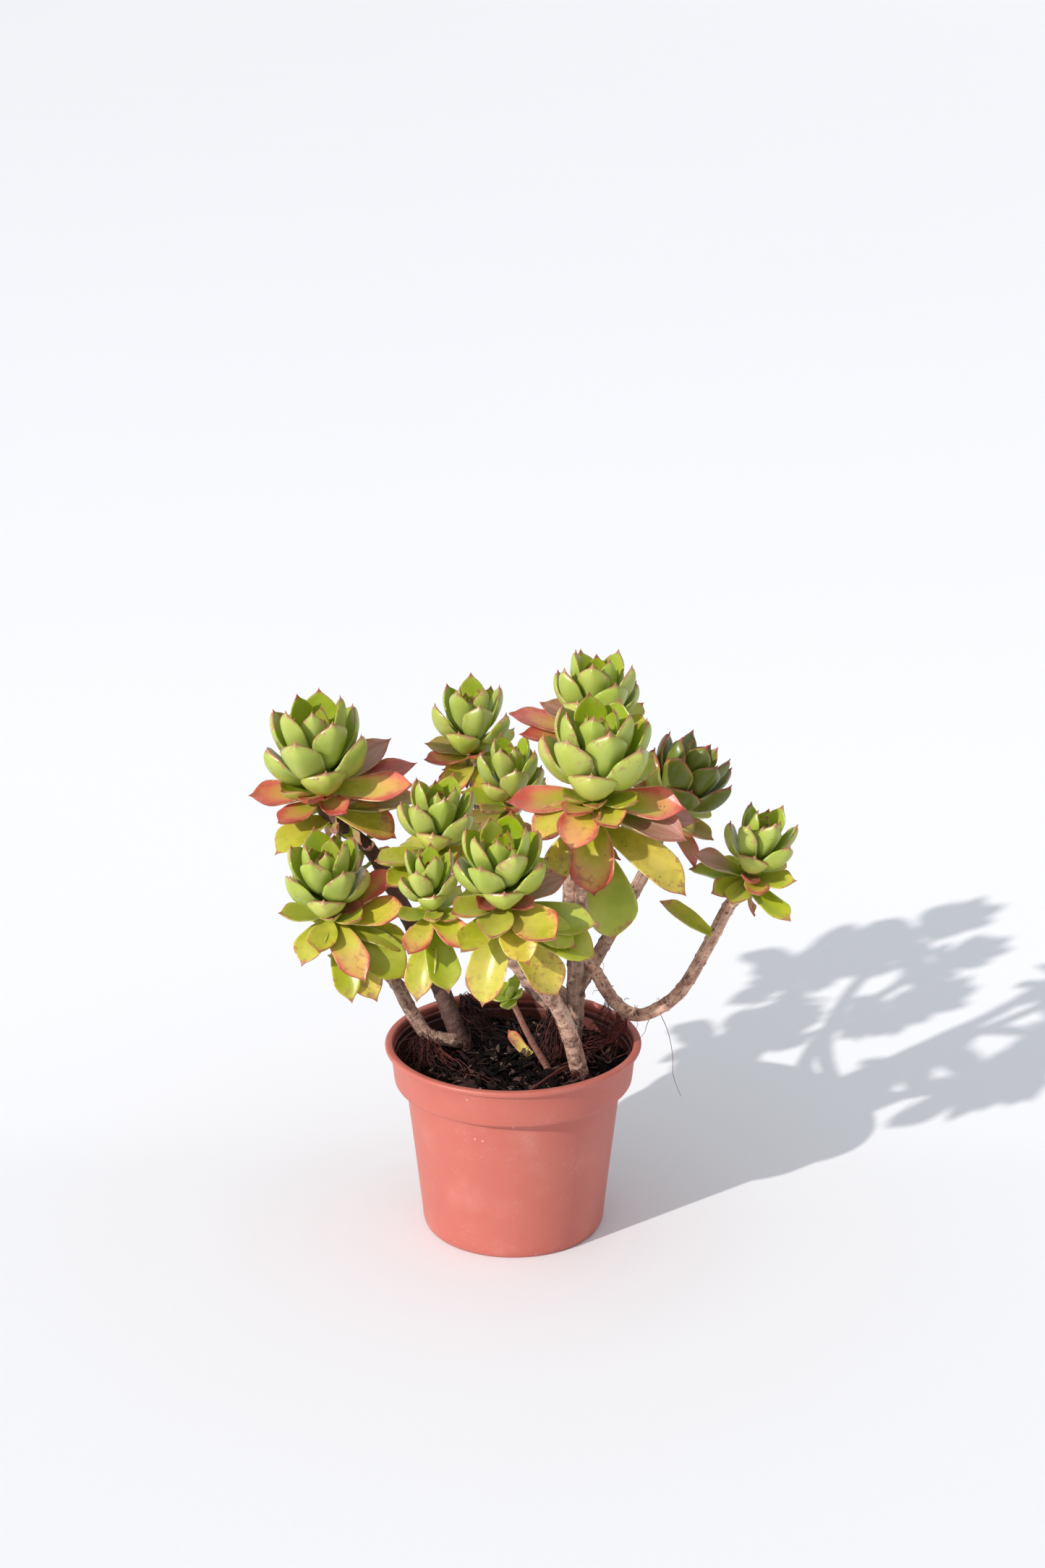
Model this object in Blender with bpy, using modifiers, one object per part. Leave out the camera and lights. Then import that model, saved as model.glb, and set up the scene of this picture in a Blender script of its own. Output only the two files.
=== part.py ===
"""A potted sedeveria: eleven leafy rosettes on branching bare stems in a thin plastic pot.

Lengths in this file are millimetres, and MM turns them into metres where a mesh is made.
The origin is the middle of the pot's underside, +Z is up and -Y is the front.
"""
import math
from collections import namedtuple

import bmesh
import bpy
from mathutils import Matrix, Vector, noise
from mathutils.bvhtree import BVHTree

MM = 0.001
GAP = 0.3

# Pot, a thin moulded shell
POT_HEIGHT = 81.0
LIP_RADIUS = 52.5
LIP_HEIGHT = 2.4
BAND_TOP_RADIUS = 50.2
BAND_BOTTOM_RADIUS = 49.0
BAND_BOTTOM_Z = 64.0
BODY_TOP_RADIUS = 44.1
BODY_FOOT_RADIUS = 37.9
FOOT_RADIUS = 36.3
WALL = 0.9
FLOOR = 1.2
RECESS_INNER = 10.0
RECESS_OUTER = 28.0
RECESS_DEPTH = 1.5
DRAIN_COUNT = 6
DRAIN_SIDES = 8
DRAIN_RADIUS = 3.0
DRAIN_CIRCLE = 19.0
POT_STEPS = 32

# Soil, a rough plug of bark compost
SOIL_TOP = 69.5
SOIL_RELIEF = 2.4
SOIL_LUMP = 11.0
SOIL_MOUND = 1.6
SOIL_SECTORS = 24
SOIL_RINGS = (8.0, 17.0, 26.0, 34.5, 42.0, 47.9)

# Stems
STEM_STEP = 18.0
SLEEVE_STEP = 10.0
JOINT_LENGTH = 0.8
STEM_SIDES = 8
STALK_SHARE = 0.19
HOLE_SIDES = 12
HOLE_PLAY = 1.1
HOLE_RISE = 14.0
HEAD_STEM = 9.0
CURVE_SAMPLES = 24

# Leaves
GOLDEN_ANGLE = 137.5
HEAD_NECK = 0.42
SKIRT_NECK = 0.3
LEAF_WIDEST = 0.7
LEAF_STATIONS = (0.0, 0.5, 0.82)
EDGE_LIFT = 0.22
TOP_SHARE = 0.15
HEAD_THICKNESS = 0.3
SKIRT_THICKNESS = 0.24
OUTER_LEAF_ANGLE = 50.0
INNER_LEAF_ANGLE = 19.0
BUD_LEAF_ANGLE = 6.0
BUD_LEAVES = 3
BUD_LENGTH_SHARE = 0.74
BUD_WIDTH_SHARE = 0.7
OUTER_WIDTH_SHARE = 1.14
WIDTH_TAPER = 0.34
REACH_SHARE = 1.26
INNER_SHARE = 0.74
RISE_SHARE = 0.29
LOWEST_RISE = 3.6
LOWEST_SHORTER = 0.3
LOWEST_SPREAD = 4.0
HEAD_BEND = 76.0
SKIRT_BEND = 22.0
SKIRT_FACING = 0.5
LIGHT = Vector((-0.2, -0.9, 0.4))
DROOP_BEND = -40.0
ROOT_SHARE = 0.65
CORE_FOOT_SHARE = 0.34
CORE_TOP_SHARE = 0.1
CORE_HEIGHT_SHARE = 0.42
NUDGE_STEP = 7.0
NUDGE_RINGS = 5
NUDGE_DIRECTIONS = 8
SHORTENINGS = (1.0, 0.85, 0.7)

Rosette = namedtuple("Rosette", "base lean radius height width count turn hand skirt")
Form = namedtuple("Form", "length width thick bend neck facing")
Leaf = namedtuple("Leaf", "root forward up length width thick bend neck")
Branch = namedtuple("Branch", "rosette foot_radius top_radius points")

# Base point, lean in degrees towards +X and towards the front, then the size of the green
# head, its widest leaf, its number of leaves, how far its spiral is turned and which way it
# winds, and the length of stem below it that still carries old leaves
ROSETTES = {
    "a": Rosette((-80.1, 42, 177.5), (-3, 10), 21.5, 39.9, 17.3, 15, 285, 1, 21),
    "b": Rosette((-17.6, 78, 181.3), (0, 4), 17.4, 30.5, 13.2, 13, 250, -1, 12.6),
    "c": Rosette((-1.8, 52, 167.5), (0, 6), 15.3, 27.4, 11.6, 13, 230, 1, 10.5),
    "d": Rosette((33, 22, 210), (2, 2), 19, 29.5, 14.5, 14, 240, 1, 12),
    "e": Rosette((32, -32, 200), (2, 8), 22.5, 35.5, 17, 16, 262, 1, 34),
    "f": Rosette((64, 28, 172.5), (29, -2), 19.5, 31, 13.5, 17, 275, 1, 14),
    "g": Rosette((95, -5, 157), (17, 8), 15.5, 27, 11, 13, 255, 1, 12),
    "h": Rosette((-30.8, 4, 164.5), (4, 9), 16.4, 28.7, 12.8, 14, 262, 1, 12.3),
    "i": Rosette((-75.3, 12, 135.3), (-2, 15), 17.4, 32.8, 14.8, 14, 270, -1, 23.3),
    "j": Rosette((-31.5, -48, 158), (-2, 10), 11.5, 25, 10, 12, 280, 1, 16),
    "k": Rosette((-3.9, -64, 168.8), (-1, 19), 17.4, 32.8, 13.9, 15, 275, 1, 19.9),
}

# Old leaves below each head that show from the front: how far down the stem, azimuth,
# angle from the head's axis, length, width
OLD_LEAVES = {
    "a": ((3.2, 190, 84, 26.3, 13.7), (2.6, 262, 72, 20, 11.6), (7.4, 230, 88, 23.1, 12.6),
          (2.6, 350, 82, 37.8, 15.8), (5.3, 14, 78, 38.9, 14.7), (4.2, 35, 68, 34.7, 14.7),
          (1.6, 285, 66, 12.6, 8.4), (10.5, 5, 90, 37.8, 14.7), (12.6, 342, 130, 28.4, 15.8),
          (16.8, 222, 102, 27.3, 14.7), (2.6, 218, 68, 18.9, 13.7), (5.3, 302, 84, 22.1, 11.6)),
    "b": ((3.2, 208, 82, 21, 10.5), (2.1, 172, 70, 17.9, 9.5), (2.1, 285, 70, 12.6, 8.4),
          (7.4, 245, 104, 23.2, 12.6), (5.3, 355, 72, 17.9, 9.5), (8.4, 290, 108, 21, 11.6)),
    "c": ((2.1, 185, 72, 18.9, 9.5), (3.2, 233, 76, 17.9, 9.5), (2.6, 285, 72, 13.7, 8.4),
          (5.3, 215, 92, 21.1, 10.5), (5.3, 265, 96, 20, 10.5)),
    "d": ((3, 178, 80, 32, 13), (5, 190, 88, 28, 12), (4, 160, 66, 22, 11), (3, 335, 70, 22, 12),
          (2.5, 235, 74, 17, 11), (2, 300, 74, 15, 9)),
    "e": ((4, 184, 90, 31, 15), (4, 350, 88, 32, 16), (5, 249, 108, 27, 16), (6, 215, 112, 27, 14),
          (4, 290, 94, 20, 13), (7, 335, 98, 36, 16), (9, 5, 96, 37, 16), (14, 268, 138, 29, 18),
          (29, 296, 152, 35, 20), (18, 331, 120, 42, 16), (16, 225, 140, 28, 14), (20, 350, 124, 34, 15),
          (2.5, 222, 66, 17, 11), (2.5, 268, 78, 14, 10), (3.5, 240, 84, 20, 12), (3, 318, 74, 19, 11)),
    "f": ((4, 250, 108, 24, 11), (6, 300, 104, 27, 10), (3, 325, 84, 22, 11), (4, 165, 56, 27, 12)),
    "g": ((3, 335, 66, 18, 10), (3, 190, 76, 25, 10), (6, 315, 94, 24, 11), (5, 222, 98, 19, 10),
          (5, 252, 98, 19, 10), (2, 262, 76, 12, 8), (8, 160, 104, 22, 10), (3, 285, 84, 15, 10)),
    "h": ((3.1, 240, 72, 16.4, 9.2), (2, 300, 76, 14.3, 9.2), (4.1, 208, 84, 25.6, 12.3),
          (6.1, 250, 92, 18.4, 11.3), (3.1, 340, 84, 17.4, 10.2), (7.2, 222, 96, 24.6, 12.3),
          (5.1, 285, 90, 17.4, 10.2)),
    "i": ((3.2, 10, 60, 30.7, 12.7), (4.2, 345, 76, 32.8, 14.8), (6.3, 264, 94, 20.1, 12.7),
          (8.5, 245, 102, 23.3, 12.7), (8.5, 293, 108, 31.7, 13.7), (12.7, 322, 110, 34.9, 19),
          (15.9, 300, 122, 30.7, 13.7), (15.9, 280, 120, 28.5, 11.6), (4.2, 200, 72, 19, 10.6),
          (3.2, 282, 64, 13.7, 9.5), (3.2, 318, 72, 19, 11.6), (2.1, 340, 66, 13.7, 8.5),
          (10.6, 340, 104, 31.7, 13.7)),
    "j": ((4, 250, 98, 23, 11), (5, 305, 100, 22, 11), (3, 215, 72, 15, 8), (11, 285, 132, 25, 13),
          (12, 255, 134, 27, 12), (2, 280, 76, 12, 8), (3, 320, 74, 14, 8)),
    "k": ((3, 212, 76, 21, 13), (3, 262, 84, 23, 14), (4, 312, 86, 29, 17), (7, 238, 92, 26, 13),
          (8, 288, 104, 25, 14), (14, 252, 134, 31.5, 16), (15, 312, 132, 33, 16), (14, 335, 104, 36, 17),
          (8, 352, 94, 34, 15), (9, 330, 104, 29, 13), (3, 12, 74, 23, 13), (2, 320, 70, 15, 9),
          (2, 232, 66, 14, 9)),
}

# Old leaves on the side turned away, placed by rule
HIDDEN_SIDE_AZIMUTHS = (48.0, 128.0, 88.0)
HIDDEN_SIDE_REACH = 1.35
HIDDEN_SIDE_ANGLES = (80.0, 125.0)

# Woody stems, each from its head down to the soil or into the trunk it grew from
TRUNKS = {
    "stem_left": (
        Branch("a", 4, 3, ((-71.9, 40, 159.8), (-59.1, 36, 149.9), (-47.5, 28, 131.6),
                               (-38.3, 21, 114.4), (-30.2, 15, 97.1), (-24.3, 13.5, 81.3),
                               (-19.6, 15, 68), (-18, 15.6, 50))),
        Branch("i", 3, 2.7, ((-65.3, 15, 112.6), (-50.7, 14, 102.9), (-42, 10, 88.5), (-35.4, 8, 79.2),
                               (-26.1, 10, 76.1), (-22.5, 13.5, 73.8))),
        Branch("h", 2.8, 2.6, ((-33.9, 12, 141.3), (-35.8, 17, 126.2), (-39.4, 21.5, 116))),
        Branch("j", 2.6, 2.2, ((-31, -38, 134), (-32.2, -14, 119.5), (-35.6, 18.8, 107.6))),
    ),
    "stem_front": (
        Branch("k", 3.7, 3, ((-2, -51, 140), (5, -41, 127.6), (13.7, -31, 114.3), (20.7, -23, 98.4),
                               (27.2, -15, 72), (28.5, -13, 52))),
    ),
    "stem_rear": (
        Branch("d", 4.2, 3, ((31, 17, 182), (25, 8, 158), (23.5, 8, 140), (26, 12, 105), (24.2, 15, 69),
                               (24, 15.5, 48))),
        Branch("e", 3.6, 3.2, ((30.5, -20, 165), (29.5, -6, 154), (28.5, 5, 143), (25.5, 10.5, 122))),
        Branch("f", 3, 2.6, ((58, 24, 154), (51.7, 20, 142), (37.3, 14, 117), (26.5, 12, 98))),
        Branch("g", 2.8, 2.6, ((86, -3.5, 139), (79, -2, 123), (69.2, 0, 103.5), (59.7, 2, 93.7),
                               (50.1, 5, 89.5), (41.5, 9, 94), (33, 12, 107), (25.5, 12, 118))),
        Branch("c", 2.8, 2.5, ((-2.3, 51, 147.5), (-2.7, 42, 120.3), (2, 27, 102), (11.1, 16, 93.2),
                               (24.5, 14, 82))),
        Branch("b", 2.6, 2.5, ((-14.9, 73, 157.7), (-9.5, 58, 135.4), (-0.1, 36, 113.3),
                               (12.1, 20, 100.7), (25, 13, 92))),
    ),
}

# Tiny offshoot rising from the soil; each of its leaves is an azimuth, angle, length and width
OFFSHOOT_FOOT = (17.8, -8, 56)
OFFSHOOT_POINTS = ((16.1, -10, 68), (7.5, -14, 86), (1.5, -18, 101), (-0.5, -20, 107))
OFFSHOOT_RADIUS = 1.4
OFFSHOOT_STEP = 7.0
OFFSHOOT_BUD_RADIUS = 1.6
OFFSHOOT_BUD_LENGTH = 3.0
OFFSHOOT_LEAVES = ((200, 62, 8, 6), (265, 80, 8, 7), (330, 58, 7.5, 6), (60, 55, 8, 6),
                   (130, 60, 7, 6), (300, 20, 7, 4.5))

# A lone leaf on the bare right-hand stem and a shed leaf on the soil: root, tip, width, thickness
LONE_LEAF = ((79.6, -5.9, 129.6), (59.5, -10, 144.5), 9.5, 2.2)
SHED_LEAF = ((6.5, 2.8, 71.8), (-2.5, 13.0, 77.6), 5.6, 1.2)
SINGLE_LEAF_FACING = Vector((0, -0.6, 1))

# Surface colours: base colour, roughness, metallic
FINISHES = {
    "pot_plastic": ((0.55, 0.17, 0.10), 0.45, 0.0),
    "soil": ((0.035, 0.025, 0.02), 0.95, 0.0),
    "bark": ((0.26, 0.17, 0.12), 0.8, 0.0),
    "young_leaf": ((0.30, 0.46, 0.12), 0.35, 0.0),
    "old_leaf": ((0.62, 0.42, 0.10), 0.4, 0.0),
}


def clear_scene():
    """Empty the scene before building."""
    for item in list(bpy.data.objects):
        bpy.data.objects.remove(item, do_unlink=True)


def make_collection(name, hidden=False):
    """Add a collection to the scene."""
    collection = bpy.data.collections.new(name)
    bpy.context.scene.collection.children.link(collection)
    collection.hide_render = hidden
    return collection


def make_material(name):
    """One Principled material from the table of finishes."""
    colour, roughness, metallic = FINISHES[name]
    material = bpy.data.materials.new(name)
    material.use_nodes = True
    shader = material.node_tree.nodes["Principled BSDF"]
    shader.inputs["Base Color"].default_value = (*colour, 1.0)
    shader.inputs["Roughness"].default_value = roughness
    shader.inputs["Metallic"].default_value = metallic
    material.diffuse_color = (*colour, 1.0)
    return material


def add_object(name, mesh, collection, material=None):
    """Link a mesh as a new object."""
    item = bpy.data.objects.new(name, mesh)
    collection.objects.link(item)
    if material is not None:
        mesh.materials.clear()
        mesh.materials.append(material)
    return item


def mesh_from(name, vertices, faces):
    """A mesh in metres from vertices in millimetres."""
    mesh = bpy.data.meshes.new(name)
    mesh.from_pydata([[value * MM for value in vertex] for vertex in vertices], [], faces)
    mesh.validate()
    return mesh


def evaluated_mesh(item):
    """The object's mesh with its modifiers applied."""
    bpy.context.view_layer.update()
    return bpy.data.meshes.new_from_object(item.evaluated_get(bpy.context.evaluated_depsgraph_get()))


# Pot

def pot_profile():
    """The pot's outline: up the inside from the floor's middle, over the lip, down the outside."""
    inside = [
        (0.0, FLOOR + RECESS_DEPTH), (FOOT_RADIUS - 0.5, FLOOR + RECESS_DEPTH),
        (BODY_FOOT_RADIUS - WALL, 5.0), (BODY_TOP_RADIUS - WALL, BAND_BOTTOM_Z - 2.5),
        (BODY_TOP_RADIUS - 0.2, BAND_BOTTOM_Z - 0.6), (BAND_BOTTOM_RADIUS - 1.6, BAND_BOTTOM_Z + 0.6),
        (BAND_BOTTOM_RADIUS - WALL, BAND_BOTTOM_Z + 2.0), (BAND_TOP_RADIUS - WALL, POT_HEIGHT - 0.6),
    ]
    outside = [
        (BAND_TOP_RADIUS - 0.4, POT_HEIGHT), (LIP_RADIUS - 0.6, POT_HEIGHT), (LIP_RADIUS, POT_HEIGHT - 0.9),
        (LIP_RADIUS - 0.5, POT_HEIGHT - LIP_HEIGHT),
        (BAND_TOP_RADIUS, POT_HEIGHT - LIP_HEIGHT - 0.2), (BAND_BOTTOM_RADIUS, BAND_BOTTOM_Z + 1.4),
        (BAND_BOTTOM_RADIUS - 0.9, BAND_BOTTOM_Z), (BODY_TOP_RADIUS + 0.6, BAND_BOTTOM_Z - 1.5),
        (BODY_TOP_RADIUS, BAND_BOTTOM_Z - 3.0), (BODY_FOOT_RADIUS, 4.5), (BODY_FOOT_RADIUS - 0.5, 1.6),
        (FOOT_RADIUS, 0.0), (RECESS_OUTER + 0.4, 0.0), (RECESS_OUTER - 0.4, RECESS_DEPTH),
        (RECESS_INNER + 0.4, RECESS_DEPTH), (RECESS_INNER - 0.4, 0.0), (0.0, 0.0),
    ]
    return inside + outside


def turned(name, profile, steps, collection, material):
    """A solid of revolution from an outline of radius and height."""
    points = [(radius, 0.0, height) for radius, height in profile]
    edges = [(index, index + 1) for index in range(len(points) - 1)]
    mesh = bpy.data.meshes.new(name)
    mesh.from_pydata([[value * MM for value in point] for point in points], edges, [])
    item = add_object(name, mesh, collection, material)
    screw = item.modifiers.new("Turn", "SCREW")
    screw.axis = "Z"
    screw.steps = steps
    screw.render_steps = steps
    screw.use_merge_vertices = True
    screw.merge_threshold = 0.00001
    return item


def cylinder(name, start, end, radius, sides, collection):
    """A capped cylinder between two points."""
    start, end = Vector(start), Vector(end)
    axis = end - start
    shape = bmesh.new()
    bmesh.ops.create_cone(shape, cap_ends=True, segments=sides, radius1=radius * MM,
                          radius2=radius * MM, depth=axis.length * MM)
    turn = axis.to_track_quat("Z", "Y").to_matrix().to_4x4()
    shape.transform(Matrix.Translation((start + end) * 0.5 * MM) @ turn)
    mesh = bpy.data.meshes.new(name)
    shape.to_mesh(mesh)
    shape.free()
    return add_object(name, mesh, collection)


def cut(item, cutter):
    """Take a cutter out of a solid."""
    cutter.display_type = "WIRE"
    cutter.hide_render = True
    boolean = item.modifiers.new("Cut_" + cutter.name, "BOOLEAN")
    boolean.operation = "DIFFERENCE"
    boolean.object = cutter


def build_pot(collection, cutters, material):
    """The pot, with a ring of drainage holes through its raised floor."""
    pot = turned("pot", pot_profile(), POT_STEPS, collection, material)
    for index in range(DRAIN_COUNT):
        angle = math.tau * (index + 0.5) / DRAIN_COUNT
        x, y = DRAIN_CIRCLE * math.cos(angle), DRAIN_CIRCLE * math.sin(angle)
        drain = cylinder("drain_%d" % index, (x, y, 0.0), (x, y, FLOOR + RECESS_DEPTH + 1.0),
                         DRAIN_RADIUS, DRAIN_SIDES, cutters)
        cut(pot, drain)
    return pot


# Soil

def soil_height(x, y):
    """Rough, slightly mounded surface of the compost."""
    radius = math.hypot(x, y)
    mound = SOIL_MOUND * (1.0 - (radius / SOIL_RINGS[-1]) ** 2)
    coarse = noise.noise(Vector((x, y, 0.0)) / SOIL_LUMP + Vector((0.0, 0.0, 3.7)))
    fine = noise.noise(Vector((x, y, 0.0)) * 3.0 / SOIL_LUMP + Vector((0.0, 0.0, 9.1)))
    return SOIL_TOP + mound + SOIL_RELIEF * (coarse + 0.5 * fine)


def soil_sides():
    """Rings of the plug below its surface, as radius and height, fitting the pot's inside."""
    inner = GAP + WALL
    return (
        (BAND_BOTTOM_RADIUS - inner - 0.2, BAND_BOTTOM_Z + 2.6),
        (BAND_BOTTOM_RADIUS - inner - 1.2, BAND_BOTTOM_Z + 1.3),
        (BODY_TOP_RADIUS - inner + 0.1, BAND_BOTTOM_Z - 0.3),
        (BODY_TOP_RADIUS - inner - 0.1, BAND_BOTTOM_Z - 3.0),
        (BODY_FOOT_RADIUS - inner, 5.2),
        (FOOT_RADIUS - inner - 0.4, FLOOR + RECESS_DEPTH + GAP),
    )


def build_soil(collection, cutters, material):
    """The plug of soil, with a plain hole for each stem that stands in it."""
    rings = [[(radius * math.cos(a), radius * math.sin(a)) for a in sector_angles()]
             for radius in SOIL_RINGS]
    vertices = [(0.0, 0.0, soil_height(0.0, 0.0))]
    for ring in rings:
        vertices += [(x, y, soil_height(x, y)) for x, y in ring]
    for radius, height in soil_sides():
        vertices += [(radius * math.cos(a), radius * math.sin(a), height) for a in sector_angles()]
    bottom = len(vertices)
    vertices.append((0.0, 0.0, soil_sides()[-1][1]))
    count = SOIL_SECTORS
    faces = [(0, 1 + i, 1 + (i + 1) % count) for i in range(count)]
    for ring in range(len(SOIL_RINGS) + len(soil_sides()) - 1):
        low = 1 + ring * count
        for i in range(count):
            j = (i + 1) % count
            faces.append((low + i, low + count + i, low + j))
            faces.append((low + j, low + count + i, low + count + j))
    last = bottom - count
    faces += [(bottom, last + (i + 1) % count, last + i) for i in range(count)]
    soil = add_object("soil", mesh_from("soil", vertices, faces), collection, material)
    for name, start, end, radius in soil_holes():
        cut(soil, cylinder(name, start, end, radius, HOLE_SIDES, cutters))
    return soil


def sector_angles():
    """Angles of the soil's spokes."""
    return [math.tau * index / SOIL_SECTORS for index in range(SOIL_SECTORS)]


def soil_holes():
    """Where stems stand in the soil: a name, the hole's two ends and its radius."""
    feet = [(name, branches[0].points[-2:], branches[0].foot_radius)
            for name, branches in TRUNKS.items()]
    feet.append(("offshoot", (OFFSHOOT_POINTS[0], OFFSHOOT_FOOT), OFFSHOOT_RADIUS))
    holes = []
    for name, (upper, lower), radius in feet:
        upper, lower = Vector(upper), Vector(lower)
        down = (lower - upper).normalized()
        clear = (radius + HOLE_PLAY) / math.cos(math.pi / HOLE_SIDES)
        holes.append(("hole_" + name, upper - down * HOLE_RISE, lower + down * GAP, clear))
    return holes


# Paths

def catmull_rom(points, samples):
    """A smooth curve through the points, closely sampled."""
    ends = [points[0] * 2 - points[1]] + points + [points[-1] * 2 - points[-2]]
    curve = []
    for index in range(len(points) - 1):
        a, b, c, d = ends[index:index + 4]
        for step in range(samples):
            t = step / samples
            curve.append(0.5 * (2 * b + (c - a) * t + (2 * a - 5 * b + 4 * c - d) * t * t
                                + (3 * b - a - 3 * c + d) * t ** 3))
    curve.append(points[-1])
    return curve


def walk(curve, start, end, step):
    """Points on a closely sampled curve at even distances between two lengths along it."""
    lengths = [0.0]
    for before, after in zip(curve, curve[1:]):
        lengths.append(lengths[-1] + (after - before).length)
    end = lengths[-1] if end is None else end
    count = max(1, round((end - start) / step))
    result = []
    index = 0
    for number in range(count + 1):
        target = start + (end - start) * number / count
        while index < len(curve) - 2 and lengths[index + 1] < target:
            index += 1
        share = (target - lengths[index]) / (lengths[index + 1] - lengths[index])
        result.append(curve[index].lerp(curve[index + 1], share))
    return result


def head_axis(rosette):
    """Unit vector along a leaning head."""
    aside, forward = (math.tan(math.radians(angle)) for angle in rosette.lean)
    return Vector((aside, -forward, 1.0)).normalized()


def branch_curve(branch):
    """Centreline of a stem from the base of its head downwards."""
    rosette = ROSETTES[branch.rosette]
    base = Vector(rosette.base)
    below = base - head_axis(rosette) * HEAD_STEM
    points = [base, below] + [Vector(point) for point in branch.points]
    return catmull_rom(points, CURVE_SAMPLES)


def all_curves():
    """Every rosette's stem centreline by name."""
    return {branch.rosette: branch_curve(branch) for branches in TRUNKS.values() for branch in branches}


# Tubes and fusing

def tube(name, points, radii, sides, collection):
    """A round bar along points whose radius changes on the way, as a closed mesh."""
    data = bpy.data.curves.new(name, "CURVE")
    data.dimensions = "3D"
    data.bevel_depth = MM
    data.bevel_resolution = (sides - 4) // 2
    data.use_fill_caps = True
    spline = data.splines.new("POLY")
    spline.points.add(len(points) - 1)
    for target, point, radius in zip(spline.points, points, radii):
        target.co = (*(point * MM), 1.0)
        target.radius = radius
    guide = bpy.data.objects.new(name + "_curve", data)
    collection.objects.link(guide)
    mesh = evaluated_mesh(guide)
    weld(mesh, 0.00001)
    item = add_object(name, mesh, collection)
    item.matrix_world = guide.matrix_world
    bpy.data.objects.remove(guide, do_unlink=True)
    return item


def weld(mesh, distance):
    """Join vertices that lie together and turn every face outwards."""
    shape = bmesh.new()
    shape.from_mesh(mesh)
    bmesh.ops.remove_doubles(shape, verts=shape.verts, dist=distance)
    bmesh.ops.recalc_face_normals(shape, faces=shape.faces)
    shape.to_mesh(mesh)
    shape.free()


def fuse(item, others, collection):
    """Join a list of objects to one by a single union, and remove them."""
    group = bpy.data.collections.new(item.name + "_repeats")
    for other in others:
        collection.objects.unlink(other)
        group.objects.link(other)
    union = item.modifiers.new("Fuse", "BOOLEAN")
    union.operation = "UNION"
    union.operand_type = "COLLECTION"
    union.collection = group
    union.solver = "EXACT"
    mesh = evaluated_mesh(item)
    item.modifiers.clear()
    item.data = mesh
    for other in others:
        bpy.data.objects.remove(other, do_unlink=True)
    bpy.data.collections.remove(group)
    keep_main_body(mesh)
    return item


def component_volumes(shape):
    """Connected sets of faces with the volume that each encloses."""
    unseen = set(shape.faces)
    groups = []
    while unseen:
        stack = [unseen.pop()]
        group = list(stack)
        while stack:
            for edge in stack.pop().edges:
                for face in edge.link_faces:
                    if face in unseen:
                        unseen.remove(face)
                        stack.append(face)
                        group.append(face)
        volume = sum(face.calc_center_median().dot(face.normal) * face.calc_area() for face in group) / 3.0
        groups.append((volume, group))
    return groups


def keep_main_body(mesh):
    """Fill sealed hollows and drop scraps by keeping only the largest closed surface."""
    shape = bmesh.new()
    shape.from_mesh(mesh)
    bmesh.ops.dissolve_degenerate(shape, dist=0.000002, edges=shape.edges)
    bmesh.ops.triangulate(shape, faces=shape.faces)
    groups = sorted(component_volumes(shape), key=lambda pair: pair[0])
    spare = [face for _, group in groups[:-1] for face in group]
    bmesh.ops.delete(shape, geom=spare, context="FACES")
    shape.to_mesh(mesh)
    shape.free()


# Leaves

def leaf_outline(t, neck):
    """Share of its greatest width that a leaf has at t of its length."""
    if t < LEAF_WIDEST:
        return neck + (1.0 - neck) * math.sin(0.5 * math.pi * t / LEAF_WIDEST)
    return (1.0 - ((t - LEAF_WIDEST) / (1.0 - LEAF_WIDEST)) ** 2.4) ** 0.75


def leaf_body(t):
    """Share of its greatest thickness that a leaf has at t of its length."""
    swell = 0.5 + 0.5 * math.sin(0.5 * math.pi * min(t / 0.4, 1.0))
    return swell * math.sqrt(max(0.0, 1.0 - max(0.0, (t - 0.4) / 0.6) ** 2))


def leaf_centre(leaf, t):
    """Point on a leaf's curved centreline and its upward normal there."""
    turn = math.radians(leaf.bend)
    angle = turn * t
    if abs(turn) < 0.001:
        along, rise = leaf.length * t, 0.0
    else:
        along = leaf.length * math.sin(angle) / turn
        rise = leaf.length * (1.0 - math.cos(angle)) / turn
    point = leaf.root + leaf.forward * along + leaf.up * rise
    normal = leaf.up * math.cos(angle) - leaf.forward * math.sin(angle)
    return point, normal


def leaf_shape(leaf, grow=0.0):
    """Vertices and faces of a keeled leaf with four sides and a pointed tip."""
    side = leaf.forward.cross(leaf.up)
    vertices = []
    for t in LEAF_STATIONS:
        point, normal = leaf_centre(leaf, t)
        half = leaf.width * 0.5 * leaf_outline(t, leaf.neck) + grow
        thick = leaf.thick * leaf_body(t)
        lift = EDGE_LIFT * half
        vertices += [point - side * half + normal * lift,
                     point + normal * (TOP_SHARE * thick + grow),
                     point + side * half + normal * lift,
                     point - normal * ((1.0 - TOP_SHARE) * thick + grow)]
    vertices.append(leaf_centre(leaf, 1.0 + grow / leaf.length)[0])
    tip = len(vertices) - 1
    faces = [(3, 2, 1, 0)]
    for ring in range(len(LEAF_STATIONS) - 1):
        low = ring * 4
        for i in range(4):
            j = (i + 1) % 4
            faces.append((low + i, low + j, low + 4 + j))
            faces.append((low + i, low + 4 + j, low + 4 + i))
    faces += [(tip - 4 + i, tip - 4 + (i + 1) % 4, tip) for i in range(4)]
    return vertices, faces


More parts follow.
